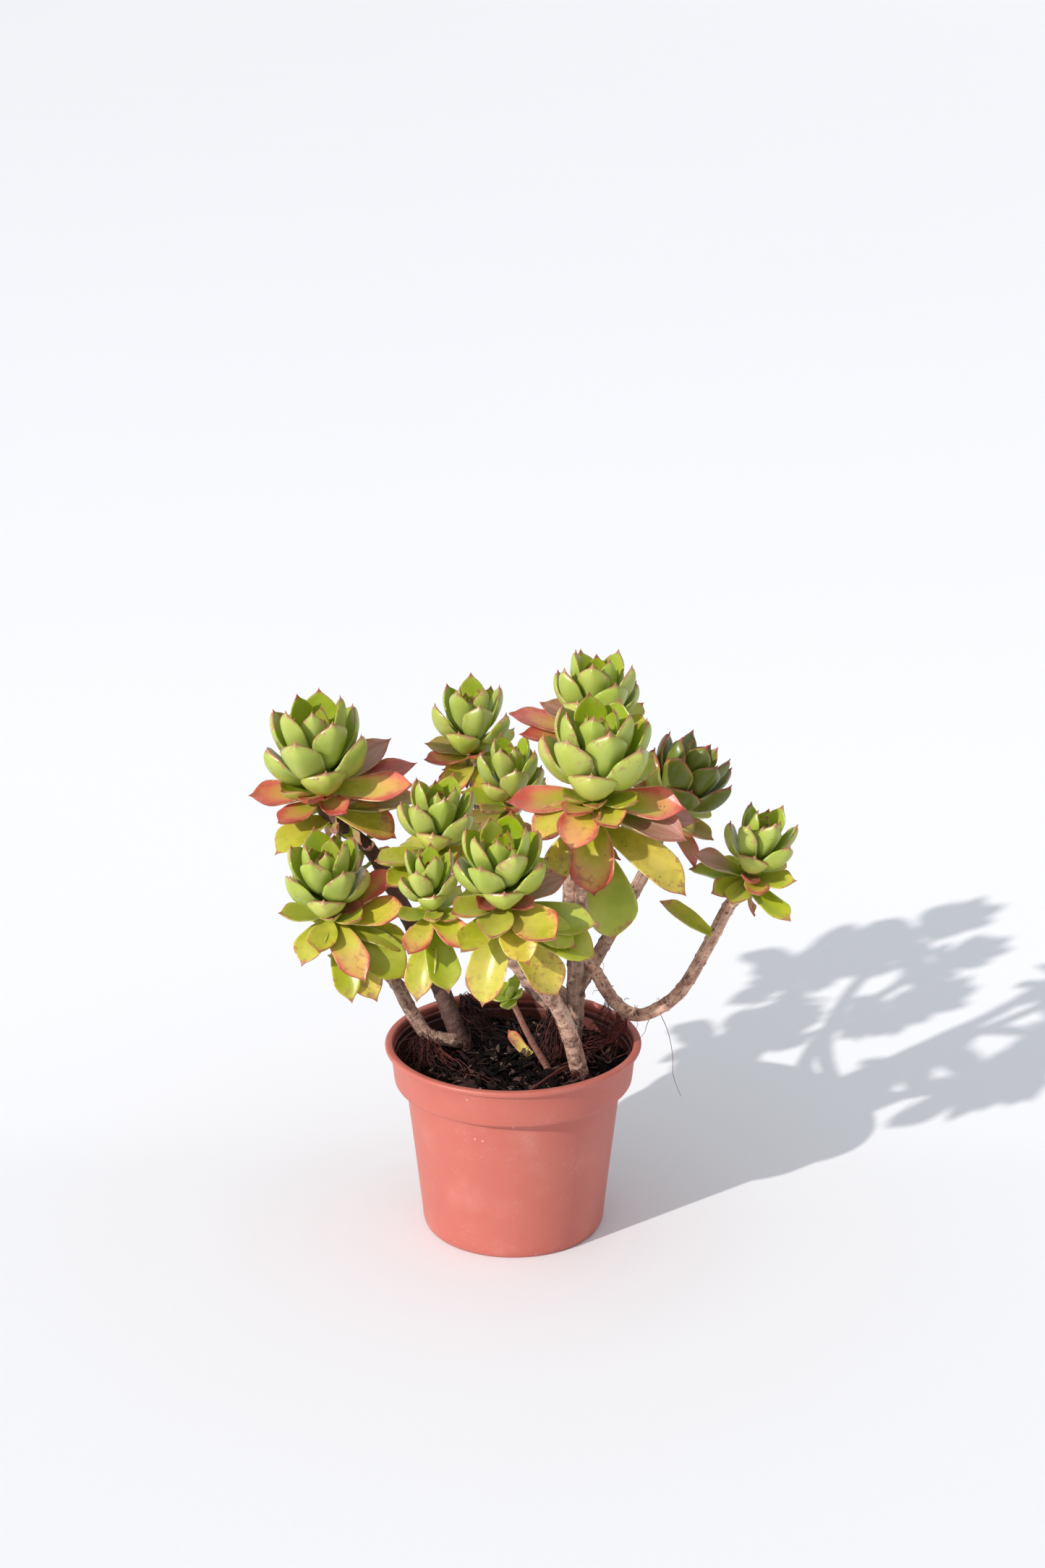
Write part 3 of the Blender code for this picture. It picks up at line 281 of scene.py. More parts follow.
def catmull_rom(points, samples):
    """A smooth curve through the points, closely sampled."""
    ends = [points[0] * 2 - points[1]] + points + [points[-1] * 2 - points[-2]]
    curve = []
    for index in range(len(points) - 1):
        a, b, c, d = ends[index:index + 4]
        for step in range(samples):
            t = step / samples
            curve.append(0.5 * (2 * b + (c - a) * t + (2 * a - 5 * b + 4 * c - d) * t * t
                                + (3 * b - a - 3 * c + d) * t ** 3))
    curve.append(points[-1])
    return curve


def walk(curve, start, end, step):
    """Points on a closely sampled curve at even distances between two lengths along it."""
    lengths = [0.0]
    for before, after in zip(curve, curve[1:]):
        lengths.append(lengths[-1] + (after - before).length)
    end = lengths[-1] if end is None else end
    count = max(1, round((end - start) / step))
    result = []
    index = 0
    for number in range(count + 1):
        target = start + (end - start) * number / count
        while index < len(curve) - 2 and lengths[index + 1] < target:
            index += 1
        share = (target - lengths[index]) / (lengths[index + 1] - lengths[index])
        result.append(curve[index].lerp(curve[index + 1], share))
    return result


def head_axis(rosette):
    """Unit vector along a leaning head."""
    aside, forward = (math.tan(math.radians(angle)) for angle in rosette.lean)
    return Vector((aside, -forward, 1.0)).normalized()


def branch_curve(branch):
    """Centreline of a stem from the base of its head downwards."""
    rosette = ROSETTES[branch.rosette]
    base = Vector(rosette.base)
    below = base - head_axis(rosette) * HEAD_STEM
    points = [base, below] + [Vector(point) for point in branch.points]
    return catmull_rom(points, CURVE_SAMPLES)


def all_curves():
    """Every rosette's stem centreline by name."""
    return {branch.rosette: branch_curve(branch)
            for branches in TRUNKS.values() for branch in branches}


def leaf_outline(t, neck):
    """Share of its greatest width that a leaf has at t of its length."""
    if t < LEAF_WIDEST:
        return neck + (1.0 - neck) * math.sin(0.5 * math.pi * t / LEAF_WIDEST)
    return (1.0 - ((t - LEAF_WIDEST) / (1.0 - LEAF_WIDEST)) ** 2.4) ** 0.75


def leaf_body(t):
    """Share of its greatest thickness that a leaf has at t of its length."""
    swell = 0.5 + 0.5 * math.sin(0.5 * math.pi * min(t / 0.4, 1.0))
    return swell * math.sqrt(max(0.0, 1.0 - max(0.0, (t - 0.4) / 0.6) ** 2))


def leaf_centre(leaf, t):
    """Point on a leaf's curved centreline and its upward normal there."""
    turn = math.radians(leaf.bend)
    angle = turn * t
    if abs(turn) < 0.001:
        along, rise = leaf.length * t, 0.0
    else:
        along = leaf.length * math.sin(angle) / turn
        rise = leaf.length * (1.0 - math.cos(angle)) / turn
    point = leaf.root + leaf.forward * along + leaf.up * rise
    normal = leaf.up * math.cos(angle) - leaf.forward * math.sin(angle)
    return point, normal


def leaf_shape(leaf, grow=0.0):
    """Vertices and faces of the solid's plain keeled leaf."""
    side = leaf.forward.cross(leaf.up)
    vertices = []
    for t in LEAF_STATIONS:
        point, normal = leaf_centre(leaf, t)
        half = leaf.width * 0.5 * leaf_outline(t, leaf.neck) + grow
        thick = leaf.thick * leaf_body(t)
        lift = EDGE_LIFT * half
        vertices += [point - side * half + normal * lift,
                     point + normal * (TOP_SHARE * thick + grow),
                     point + side * half + normal * lift,
                     point - normal * ((1.0 - TOP_SHARE) * thick + grow)]
    vertices.append(leaf_centre(leaf, 1.0 + grow / leaf.length)[0])
    tip = len(vertices) - 1
    faces = [(3, 2, 1, 0)]
    for a, b, c, d in ring_quads(len(LEAF_STATIONS), 4):
        faces += [(a, b, c), (a, c, d)]
    faces += [(tip - 4 + i, tip - 4 + (i + 1) % 4, tip) for i in range(4)]
    return vertices, faces


def make_leaf(form, seat, axis, azimuth, angle):
    """A leaf that leaves a stalk at an azimuth, its chord at an angle from the axis."""
    across = (Vector((1, 0, 0)) - axis * axis.x).normalized()
    away = axis.cross(across)
    turn = math.radians(azimuth)
    outward = across * math.cos(turn) + away * math.sin(turn)
    start = math.radians(angle + form.bend / 2.0)
    forward = axis * math.cos(start) + outward * math.sin(start)
    up = axis * math.sin(start) - outward * math.cos(start)
    up = (up + (LIGHT - forward * LIGHT.dot(forward)) * form.facing).normalized()
    middle, sink = seat
    return Leaf(middle + outward * sink, forward, up, form.length, form.width, form.thick,
                form.bend, form.neck)


class Crowd:
    """Solids placed so far, so that a new leaf can be kept clear of other nodes."""

    def __init__(self):
        self.shapes = []

    def measure(self, vertices, faces):
        """A shape's search tree, its middle and how far it reaches from there."""
        middle = sum(vertices, Vector()) / len(vertices)
        reach = max((vertex - middle).length for vertex in vertices)
        return BVHTree.FromPolygons(vertices, faces), middle, reach

    def add(self, node, vertices, faces):
        """Remember one placed shape."""
        self.shapes.append((node, *self.measure(vertices, faces)))

    def is_clear(self, node, vertices, faces):
        """True if a shape crosses no other node."""
        tree, middle, reach = self.measure(vertices, faces)
        for other, other_tree, other_middle, other_reach in self.shapes:
            near = (middle - other_middle).length < reach + other_reach
            if other != node and near and tree.overlap(other_tree):
                return False
        return True


def nudges():
    """Small changes of azimuth and angle, the smallest first."""
    changes = [(0.0, 0.0)]
    for ring in range(1, NUDGE_RINGS + 1):
        for index in range(NUDGE_DIRECTIONS):
            turn = math.tau * index / NUDGE_DIRECTIONS
            reach = ring * NUDGE_STEP
            changes.append((reach * math.cos(turn), reach * math.sin(turn)))
    return changes


def settle(crowd, node, form, seat, axis, azimuth, angle):
    """Bend a leaf clear of its neighbours, shorten it if need be, or leave it out."""
    for share in SHORTENINGS:
        smaller = form._replace(length=form.length * share, width=form.width * share)
        for turn, tilt in nudges():
            leaf = make_leaf(smaller, seat, axis, azimuth + turn, angle + tilt)
            if crowd.is_clear(node, *leaf_shape(leaf, GAP)):
                crowd.add(node, *leaf_shape(leaf))
                return leaf
    return None


def core_radius(rosette, rise):
    """Radius of a head's core at a height above its base."""
    share = min(1.0, rise / (rosette.height * CORE_HEIGHT_SHARE))
    return between(rosette.radius * CORE_FOOT_SHARE, rosette.radius * CORE_TOP_SHARE, share)


def head_leaves(crowd, name):
    """Green leaves of a head on a golden-angle spiral, outermost first, each with its share."""
    rosette = ROSETTES[name]
    axis = head_axis(rosette)
    outer, inner = rosette.radius * REACH_SHARE, rosette.height * INNER_SHARE
    leaves = []
    for index in range(rosette.count):
        share = min(1.0, index / (rosette.count - 1 - BUD_LEAVES))
        bud = max(0, index - (rosette.count - 1 - BUD_LEAVES)) / BUD_LEAVES
        lowest = max(0.0, 1.0 - index / 3.0)
        azimuth = rosette.turn + rosette.hand * GOLDEN_ANGLE * index
        angle = between(INNER_LEAF_ANGLE, OUTER_LEAF_ANGLE, 1.0 - share)
        angle += (BUD_LEAF_ANGLE - INNER_LEAF_ANGLE) * bud
        length = between(outer, inner, share) * (1.0 - LOWEST_SHORTER * lowest)
        length *= between(1.0, BUD_LENGTH_SHARE, bud)
        width = rosette.width * (OUTER_WIDTH_SHARE - WIDTH_TAPER * share ** 1.6)
        width *= between(1.0, BUD_WIDTH_SHARE, bud)
        bend = HEAD_BEND * (1.0 - 0.6 * share)
        form = Form(length, width, width * HEAD_THICKNESS, bend, HEAD_NECK, 0.0)
        rise = between(LOWEST_RISE, rosette.height * RISE_SHARE, share ** 1.35)
        seat = (Vector(rosette.base) + axis * rise, core_radius(rosette, rise) * ROOT_SHARE)
        angle += LOWEST_SPREAD * lowest
        leaf = settle(crowd, "head_" + name, form, seat, axis, azimuth, angle)
        if leaf:
            leaves.append((leaf, share))
    return leaves


def old_leaf_rows(name):
    """Old leaves of a rosette: those listed, then some by rule on the side turned away."""
    rosette = ROSETTES[name]
    rows = list(OLD_LEAVES[name])
    for index, azimuth in enumerate(HIDDEN_SIDE_AZIMUTHS):
        share = index / (len(HIDDEN_SIDE_AZIMUTHS) - 1)
        angle = between(*HIDDEN_SIDE_ANGLES, share)
        drop = 2.5 + (rosette.skirt - 6.0) * share
        rows.append((drop, azimuth, angle, rosette.radius * (HIDDEN_SIDE_REACH - 0.1 * share),
                     rosette.width * 0.95, HIDDEN_TONES[index]))
    return rows


def skirt_leaves(crowd, name, curve):
    """Old leaves below a head, spreading at the top and drooping lower down, with their tones."""
    rosette = ROSETTES[name]
    axis = head_axis(rosette)
    leaves = []
    for drop, azimuth, angle, length, width, tone in old_leaf_rows(name):
        seat = (walk(curve, 0.0, drop, drop)[-1], rosette.radius * STALK_SHARE * ROOT_SHARE)
        bend = SKIRT_BEND if angle < 100 else DROOP_BEND
        form = Form(length, width, width * SKIRT_THICKNESS, bend, SKIRT_NECK, SKIRT_FACING)
        leaf = settle(crowd, "skirt_" + name, form, seat, axis, azimuth, angle)
        if leaf:
            leaves.append((leaf, tone))
    return leaves


def stem_run(branch, curve):
    """Points and radii of the bare part of a stem, below its old leaves."""
    start = ROSETTES[branch.rosette].skirt + GAP
    points = walk(curve, start, start + JOINT_LENGTH, JOINT_LENGTH)[:1]
    points += walk(curve, start + JOINT_LENGTH, None, STEM_STEP)
    last = len(points) - 1
    return points, [between(branch.top_radius, branch.foot_radius, index / last)
                    for index in range(last + 1)]


def sleeve_run(name, curve):
    """Points and radii of the leafy stretch of a stem."""
    rosette = ROSETTES[name]
    points = walk(curve, GAP / 2.0, GAP / 2.0 + JOINT_LENGTH, JOINT_LENGTH)[:1]
    points += walk(curve, GAP / 2.0 + JOINT_LENGTH, rosette.skirt - JOINT_LENGTH, SLEEVE_STEP)
    points += walk(curve, rosette.skirt - JOINT_LENGTH, rosette.skirt, JOINT_LENGTH)[1:]
    return points, [rosette.radius * STALK_SHARE] * len(points)


def core_run(name):
    """Ends and radii of the short tapered core that a head's leaves stand on."""
    rosette = ROSETTES[name]
    depth = rosette.height * CORE_HEIGHT_SHARE
    foot = Vector(rosette.base) + head_axis(rosette) * GAP
    ends = [foot, foot + head_axis(rosette) * depth]
    return ends, [core_radius(rosette, 0.0), core_radius(rosette, depth)]


def remember_tube(crowd, node, points, radii):
    """Add a tube's outline to the crowd, fat enough to hold it however its sides are turned."""
    vertices = []
    fat = 1.0 / math.cos(math.pi / STEM_SIDES)
    for index, (point, radius) in enumerate(zip(points, radii)):
        ahead = points[min(index + 1, len(points) - 1)] - points[max(index - 1, 0)]
        turned = ahead.to_track_quat("Z", "Y").to_matrix()
        for side in range(STEM_SIDES):
            turn = math.tau * side / STEM_SIDES
            spoke = Vector((math.cos(turn), math.sin(turn), 0.0))
            vertices.append(point + turned @ spoke * radius * fat)
    ends = [tuple(range(STEM_SIDES)), tuple(range(len(vertices) - STEM_SIDES, len(vertices)))]
    crowd.add(node, vertices, ring_quads(len(points), STEM_SIDES) + ends)


def place_leaves(curves):
    """Every leaf of every head, skirt and the offshoot, placed in the solids' own order."""
    crowd = Crowd()
    for node, branches in TRUNKS.items():
        for branch in branches:
            remember_tube(crowd, node, *stem_run(branch, curves[branch.rosette]))
    for name, curve in curves.items():
        remember_tube(crowd, "skirt_" + name, *sleeve_run(name, curve))
        remember_tube(crowd, "head_" + name, *core_run(name))
    heads = {name: head_leaves(crowd, name) for name in ROSETTES}
    skirts = {name: skirt_leaves(crowd, name, curves[name]) for name in ROSETTES}
    curve = offshoot_curve()
    top, axis = curve[0], (curve[0] - curve[8]).normalized()
    shoot = []
    for azimuth, angle, length, width in OFFSHOOT_LEAVES:
        form = Form(length, width, width * HEAD_THICKNESS, SKIRT_BEND, HEAD_NECK, 0.0)
        seat = (top + axis * OFFSHOOT_BUD_RADIUS, 0.5)
        leaf = settle(crowd, "offshoot_leaves", form, seat, axis, azimuth, angle)
        if leaf:
            shoot.append(leaf)
    return heads, skirts, shoot, dried_remnants(crowd, curves)


def offshoot_curve():
    """Centreline of the offshoot from its top down."""
    points = [Vector(point) for point in reversed(OFFSHOOT_POINTS)] + [Vector(OFFSHOOT_FOOT)]
    return catmull_rom(points, CURVE_SAMPLES)


def single_leaf(row):
    """A separate leaf between two points, its upper face turned up and a little to the front."""
    root, tip, width, thickness = row
    root, tip = Vector(root), Vector(tip)
    forward = (tip - root).normalized()
    up = (SINGLE_LEAF_FACING - forward * SINGLE_LEAF_FACING.dot(forward)).normalized()
    return Leaf(root, forward, up, (tip - root).length, width, thickness, 0.0, SKIRT_NECK)


# Meshes

def put_in_scene(name, data):
    """A new object, linked to the scene."""
    item = bpy.data.objects.new(name, data)
    bpy.context.scene.collection.objects.link(item)
    return item


def make_mesh(name, points, faces, material):
    """A mesh of one material, its points in metres."""
    mesh = bpy.data.meshes.new(name)
    mesh.from_pydata(points, [], faces)
    mesh.materials.append(material)
    return mesh


class Soup:
    """Points, faces and per-point values of one piece, gathered shape by shape."""

    def __init__(self):
        self.points, self.faces, self.place, self.tone, self.seed = [], [], [], [], []
        self.count = 0

    def add(self, points, faces, place, tone, seed):
        """Add one closed shape with its place and tone on every point."""
        self.points.append(points)
        self.faces += [tuple(index + self.count for index in face) for face in faces]
        self.place.append(place)
        self.tone.append(np.broadcast_to(np.asarray(tone, float), (len(points), 3)))
        self.seed.append(np.full(len(points), seed))
        self.count += len(points)

    def build(self, name, material, nodes=()):
        """Make the piece's object, which rides on the one body."""
        mesh = make_mesh(name, np.concatenate(self.points) * MM, self.faces, material)
        for key, kind, field in (("place", "FLOAT_VECTOR", "vector"),
                                 ("tone", "FLOAT_VECTOR", "vector"), ("seed", "FLOAT", "value")):
            values = np.concatenate(getattr(self, key)).astype(np.float32).ravel()
            mesh.attributes.new(key, kind, "POINT").data.foreach_set(field, values)
        mesh.shade_smooth()
        return settle_piece(put_in_scene(name, mesh), nodes)


def settle_piece(piece, nodes=()):
    """Tie a finished piece to the body and hide the solids it stands for."""
    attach(piece, "root")
    if nodes:
        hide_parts(*nodes)
    return piece


def ring_quads(rings, sides):
    """Faces between each ring of points and the next."""
    return [(low + i, low + (i + 1) % sides, low + sides + (i + 1) % sides, low + sides + i)
            for low in range(0, (rings - 1) * sides, sides) for i in range(sides)]


def grid_faces(rings, sides):
    """Quads of a tube of rings, with a fan over each end whose middle is a last point."""
    faces = ring_quads(rings, sides)
    first, last = rings * sides, rings * sides + 1
    high = (rings - 1) * sides
    for i in range(sides):
        j = (i + 1) % sides
        faces += [(first, j, i), (last, high + i, high + j)]
    return faces


def smooth(value, low, high):
    """Smooth step from 0 at low to 1 at high."""
    share = np.clip((value - low) / (high - low), 0.0, 1.0)
    return share * share * (3.0 - 2.0 * share)


# Leaves

LEAF_RINGS = np.array([0.0, 0.06, 0.13, 0.21, 0.3, 0.39, 0.48, 0.57, 0.66, 0.74, 0.81, 0.87,
                       0.915, 0.95, 0.975, 0.99, 1.0])
LEAF_SIDES = 20
MUCRO_LENGTH, MUCRO_RADIUS = 1.5, 0.3
CUSP_LENGTH, CUSP_RADIUS = 3.4, 2.3
MARGIN_ROLL = 0.35

# For a fresh leaf, then what age adds and, where there are three, what drying adds
LEAF_SWAY = (0.3, 1.1)
LEAF_TWIST = (4.0, 14.0)
LEAF_HOLLOW = (EDGE_LIFT, 0.2, 0.25)
LEAF_WAVE = (0.06, 0.4, 0.5)
DRY_SHRINK = 0.45
DENT_DEPTH = 0.07
RAGGED_EDGE = 0.04

# How aged each kind of leaf is
HEAD_AGE, BUD_AGE, SKIRT_AGE, SHOOT_AGE, WITHERED_AGE = 0.14, 0.02, 0.55, 0.05, 1.0
TONE_SPREAD = 0.07


def leaf_points(leaf, age, dry, draw):
    """Points of a fleshy leaf: keeled back, hollow face, thin margins and a small pointed tip."""
    reach = 1.0 + MUCRO_LENGTH / leaf.length
    t = np.concatenate([LEAF_RINGS, [0.5 * (1.0 + reach)]])[:, None]
    turn = math.radians(leaf.bend)
    bent = abs(turn) > 0.001
    along = leaf.length * (np.sin(turn * t) / turn if bent else t)
    rise = leaf.length * (1.0 - np.cos(turn * t)) / turn if bent else np.zeros_like(t)
    root, forward, up = (np.array(vector) for vector in (leaf.root, leaf.forward, leaf.up))
    side = np.cross(forward, up)
    normal = up * np.cos(turn * t) - forward * np.sin(turn * t)
    sway = draw[0] * (LEAF_SWAY[0] + LEAF_SWAY[1] * age) * t ** 2
    centre = root + forward * along + up * rise + side * sway
    twist = math.radians(draw[1] * (LEAF_TWIST[0] + LEAF_TWIST[1] * age)) * t
    across = side * np.cos(twist) + normal * np.sin(twist)
    above = normal * np.cos(twist) - side * np.sin(twist)

    # Half width, thickness and how far the margins rise, at each ring
    share = np.clip((t - LEAF_WIDEST) / (1.0 - LEAF_WIDEST), 0.0, 1.0)
    opening = np.sin(0.5 * math.pi * np.clip(t / LEAF_WIDEST, 0.0, 1.0)) ** 0.8
    grown = leaf.neck + (1.0 - leaf.neck) * opening
    outline = np.where(t < LEAF_WIDEST, grown, 1.0 - share ** 2.1)
    point = MUCRO_RADIUS * np.clip((reach - t) / (reach - 0.9), 0.0, 1.0)
    cusp = CUSP_RADIUS * np.clip((reach - t) * leaf.length / CUSP_LENGTH, 0.0, 1.0) ** 1.3
    half = np.maximum(leaf.width * 0.5 * outline, np.maximum(point, cusp))
    swell = 0.5 + 0.5 * np.sin(0.5 * math.pi * np.clip(t / 0.4, 0.0, 1.0))
    body = swell * np.sqrt(np.clip(1.0 - np.clip((t - 0.4) / 0.6, 0.0, 1.0) ** 2, 0.0, 1.0))
    thick = np.maximum(leaf.thick * (1.0 - DRY_SHRINK * dry) * body, 1.5 * point)
    lift = (LEAF_HOLLOW[0] + LEAF_HOLLOW[2] * dry + LEAF_HOLLOW[1] * age * (1.0 + draw[3])) * half

    # Round each ring: u runs from one margin to the other, high is up on the face
    phi = np.linspace(0.0, math.tau, LEAF_SIDES, endpoint=False)
    u, high = np.cos(phi)[None, :], np.sin(phi)[None, :]
    keel = 1.85 - 0.75 * smooth(t, 0.2, 0.75)
    edge = np.abs(u)
    roll = MARGIN_ROLL * np.sqrt(1.0 - u ** 8) * smooth(t, 0.1, 0.4)
    top = lift * u ** 2 + TOP_SHARE * thick * (1.0 - u ** 2) + roll
    back = lift * u ** 2 - (1.0 - TOP_SHARE) * thick * (1.0 - edge ** keel) ** 0.62
    y = np.where(high >= 0.0, top, back)
    wave = np.sin(math.tau * (1.4 * t + 0.3 * np.sign(u)) + 6.0 * draw[2])
    depth = LEAF_WAVE[0] + LEAF_WAVE[1] * age + LEAF_WAVE[2] * dry
    y = y + depth * wave * edge ** 3 * smooth(t, 0.1, 0.5)
    dent = np.sin(7.0 * t + 2.0 * u + 9.0 * draw[3]) * np.sin(4.0 * t - 3.0 * u)
    y = y + DENT_DEPTH * (0.4 + age) * dent * thick
    x = u * half * (1.0 + RAGGED_EDGE * age * np.sin(11.0 * t + 7.0 * draw[4]))
    points = (centre[:, None, :] + across[:, None, :] * x[..., None]
              + above[:, None, :] * y[..., None])
    tip = centre[-1] + (centre[-1] - centre[-2]) + above[-1] * 0.15
    place = np.stack(np.broadcast_arrays(t, u, high), axis=-1)
    return (np.concatenate([points.reshape(-1, 3), [centre[0], tip]]),
            np.concatenate([place.reshape(-1, 3), [(0.0, 0.0, 0.0), (reach, 0.0, 0.0)]]))


def add_leaf(soup, leaf, tone, age):
    """Add one leaf, its form and tone varied a little at random."""
    draw = RANDOM.uniform(-1.0, 1.0, 5)
    points, place = leaf_points(leaf, age, tone[2], draw)
    jitter = RANDOM.uniform(-TONE_SPREAD, TONE_SPREAD, 3) * (1.0, 1.0, 0.5)
    soup.add(points, grid_faces(len(LEAF_RINGS) + 1, LEAF_SIDES), place,
             np.clip(np.array(tone) + jitter, -0.5, 1.0), RANDOM.uniform(0.0, 1.0))


# Small leaves in the middle of a head, each pair for the outermost and the innermost of them.
# Lengths and seats are shares of the head's height, widths of its leaves' width
BUDS = 9
BUD_LENGTHS = (0.5, 0.25)
BUD_WIDTHS = (0.62, 0.26)
BUD_SEATS = (0.3, 0.42)
BUD_REACH = (1.6, 0.0)
BUD_ANGLES = (19.0, 2.0)
BUD_THICKNESS = 0.36
BUD_BEND = 50.0
BUD_TONE = (0.12, 0.22, 0.0)

# Young leaves: how yellow from the middle outwards, and how red at least, at random and outside
HEAD_RIPE = (0.1, 0.26)
HEAD_FLUSH = (0.12, 0.22, 0.16)
# Heads painted darker as shade: a ripeness below nought that darkens their green, and the extra
# red they get
SHADE_RIPE = -0.4
DARK_FLUSH = 0.15
CORE_SIDES = 12
CORE_TONE = (0.2, 0.05, 0.0)


def bud_leaves(name):
    """Small leaves that close the middle of a head."""
    rosette = ROSETTES[name]
    axis = head_axis(rosette)
    leaves = []
    for index in range(BUDS):
        share = index / (BUDS - 1)
        width = rosette.width * between(*BUD_WIDTHS, share)
        form = Form(rosette.height * between(*BUD_LENGTHS, share), width, width * BUD_THICKNESS,
                    BUD_BEND, HEAD_NECK, 0.0)
        middle = Vector(rosette.base) + axis * rosette.height * between(*BUD_SEATS, share)
        azimuth = rosette.turn + rosette.hand * GOLDEN_ANGLE * (rosette.count + index)
        leaves.append(make_leaf(form, (middle, between(*BUD_REACH, share)), axis, azimuth,
                                between(*BUD_ANGLES, share)))
    return leaves


def build_heads(heads, material):
    """Green heads with their small middle leaves."""
    for name, leaves in heads.items():
        soup = Soup()
        # Painted shade: some heads get a deep green and a little more red
        dark = name in SHADED_HEADS
        for leaf, share in leaves:
            least, chance, outside = HEAD_FLUSH
            flush = least + chance * RANDOM.uniform() ** 3 + outside * (1.0 - share) ** 3
            flush += DARK_FLUSH if dark else 0.0
            ripe = SHADE_RIPE if dark else between(*HEAD_RIPE, (1.0 - share) ** 2)
            add_leaf(soup, leaf, (ripe, flush, 0.0), HEAD_AGE)
        for leaf in bud_leaves(name):
            add_leaf(soup, leaf, BUD_TONE, BUD_AGE)
        (foot, top), (low, high) = core_run(name)
        add_tube(soup, [foot, foot.lerp(top, 0.5), top], [low, (low + high) * 0.5, high],
                 CORE_SIDES, CORE_TONE, 0.5)
        soup.build("rosette_" + name, material, ["head_" + name])


def build_skirts(skirts, material):
    """Old leaves below each head."""
    for name, leaves in skirts.items():
        soup = Soup()
        for leaf, tone in leaves:
            add_leaf(soup, leaf, TONES[tone], SKIRT_AGE)
        soup.build("old_leaves_" + name, material, ["skirt_" + name])

# Tubes

TUBE_DOME = 0.3


def ring_frames(points):
    """A path's points and directions, and two unit vectors square to it that turn very little."""
    points = np.array([tuple(point) for point in points])
    ahead = np.gradient(points, axis=0)
    ahead /= np.linalg.norm(ahead, axis=1)[:, None]
    spoke = np.cross(ahead[0], (0.31, 0.85, 0.43))
    first, second = [], []
    for direction in ahead:
        spoke = spoke - direction * spoke.dot(direction)
        spoke /= np.linalg.norm(spoke)
        first.append(spoke)
        second.append(np.cross(direction, spoke))
    return points, ahead, np.array(first), np.array(second)


def add_tube(soup, points, radii, sides, tone, seed, swell=None):
    """Add a closed tube along points. Swell is added to its radius at each ring and side."""
    points, ahead, first, second = ring_frames(points)
    phi = np.linspace(0.0, math.tau, sides, endpoint=False)
    radius = np.array(radii)[:, None] + (0.0 if swell is None else swell)
    radius = np.broadcast_to(radius, (len(points), sides))
    skin = (points[:, None, :] + first[:, None, :] * (np.cos(phi) * radius)[..., None]
            + second[:, None, :] * (np.sin(phi) * radius)[..., None])
    along = np.linspace(0.0, 1.0, len(points))[:, None]
    place = np.stack(np.broadcast_arrays(along, np.cos(phi), np.sin(phi)), axis=-1)
    ends = [points[0] - ahead[0] * radii[0] * TUBE_DOME,
            points[-1] + ahead[-1] * radii[-1] * TUBE_DOME]
    end_places = [(0.0, 0.0, 0.0), (1.0, 0.0, 0.0)]
    soup.add(np.concatenate([skin.reshape(-1, 3), ends]), grid_faces(len(points), sides),
             np.concatenate([place.reshape(-1, 3), end_places]), tone, seed)


BARK_STEP = 0.9
BARK_SIDES = 24
SCAR_SPACING = 3.1
SCAR_HEIGHT = 0.34
SCAR_BOW = 0.9
LUMP_HEIGHT = 0.22
LEAFY_SHARE = 0.92
# Default warmth and default painted shade of a stem
COMMON_BARK = 0.25
RUDDY_BARK = {"g": 1.0, "k": 0.6}
# Painted shade on the bark: how far each stem is darkened, most on the stems under the leaves
SHADED_BARK = {"a": 1.0, "h": 0.9, "j": 0.9, "i": 0.35, "k": 0.0, "g": 0.0, "d": 0.3, "e": 0.3}


def bark_swell(points, radii, seed):
    """Relief of a woody stem: leaf scars on a spiral, lengthwise wrinkles and lumps."""
    count = len(points)
    along = np.arange(count)[:, None] * BARK_STEP
    phi = np.linspace(0.0, math.tau, BARK_SIDES, endpoint=False)[None, :]
    relief = np.zeros((count, BARK_SIDES))
    for index in range(int(count * BARK_STEP / SCAR_SPACING)):
        middle = SCAR_SPACING * (index + 0.35 * math.sin(index * 2.3 + seed))
        turn = math.radians(GOLDEN_ANGLE) * index + seed
        apart = (phi - turn + math.pi) % math.tau - math.pi
        bow = along - middle + SCAR_BOW * apart ** 2
        relief += SCAR_HEIGHT * np.exp(-(bow / 0.75) ** 2 - (apart / 1.15) ** 2)
        relief -= 0.5 * SCAR_HEIGHT * np.exp(-((bow - 1.3) / 0.7) ** 2 - (apart / 1.0) ** 2)
    lumps = np.empty_like(relief)
    for ring in range(count):
        for side in range(BARK_SIDES):
            angle = phi[0, side]
            where = Vector((math.cos(angle) * 1.3, math.sin(angle) * 1.3,
                            ring * BARK_STEP * 0.16 + seed))
            lumps[ring, side] = noise.noise(where) + 0.5 * noise.noise(where * 3.1)
    return relief + LUMP_HEIGHT * np.array(radii)[:, None] / 3.0 * lumps


def blended_radii(branch, curve, count):
    """Radii down a stem, from its leafy stretch through the bare part to its foot."""
    lengths = np.arange(count) * BARK_STEP
    rosette = ROSETTES[branch.rosette]
    down = (lengths - rosette.skirt) / max(1.0, lengths[-1] - rosette.skirt)
    bare = between(branch.top_radius, branch.foot_radius, np.clip(down, 0.0, 1.0))
    leafy = rosette.radius * STALK_SHARE * LEAFY_SHARE
    return between(leafy, bare, smooth(lengths, rosette.skirt - 4.0, rosette.skirt + 6.0))


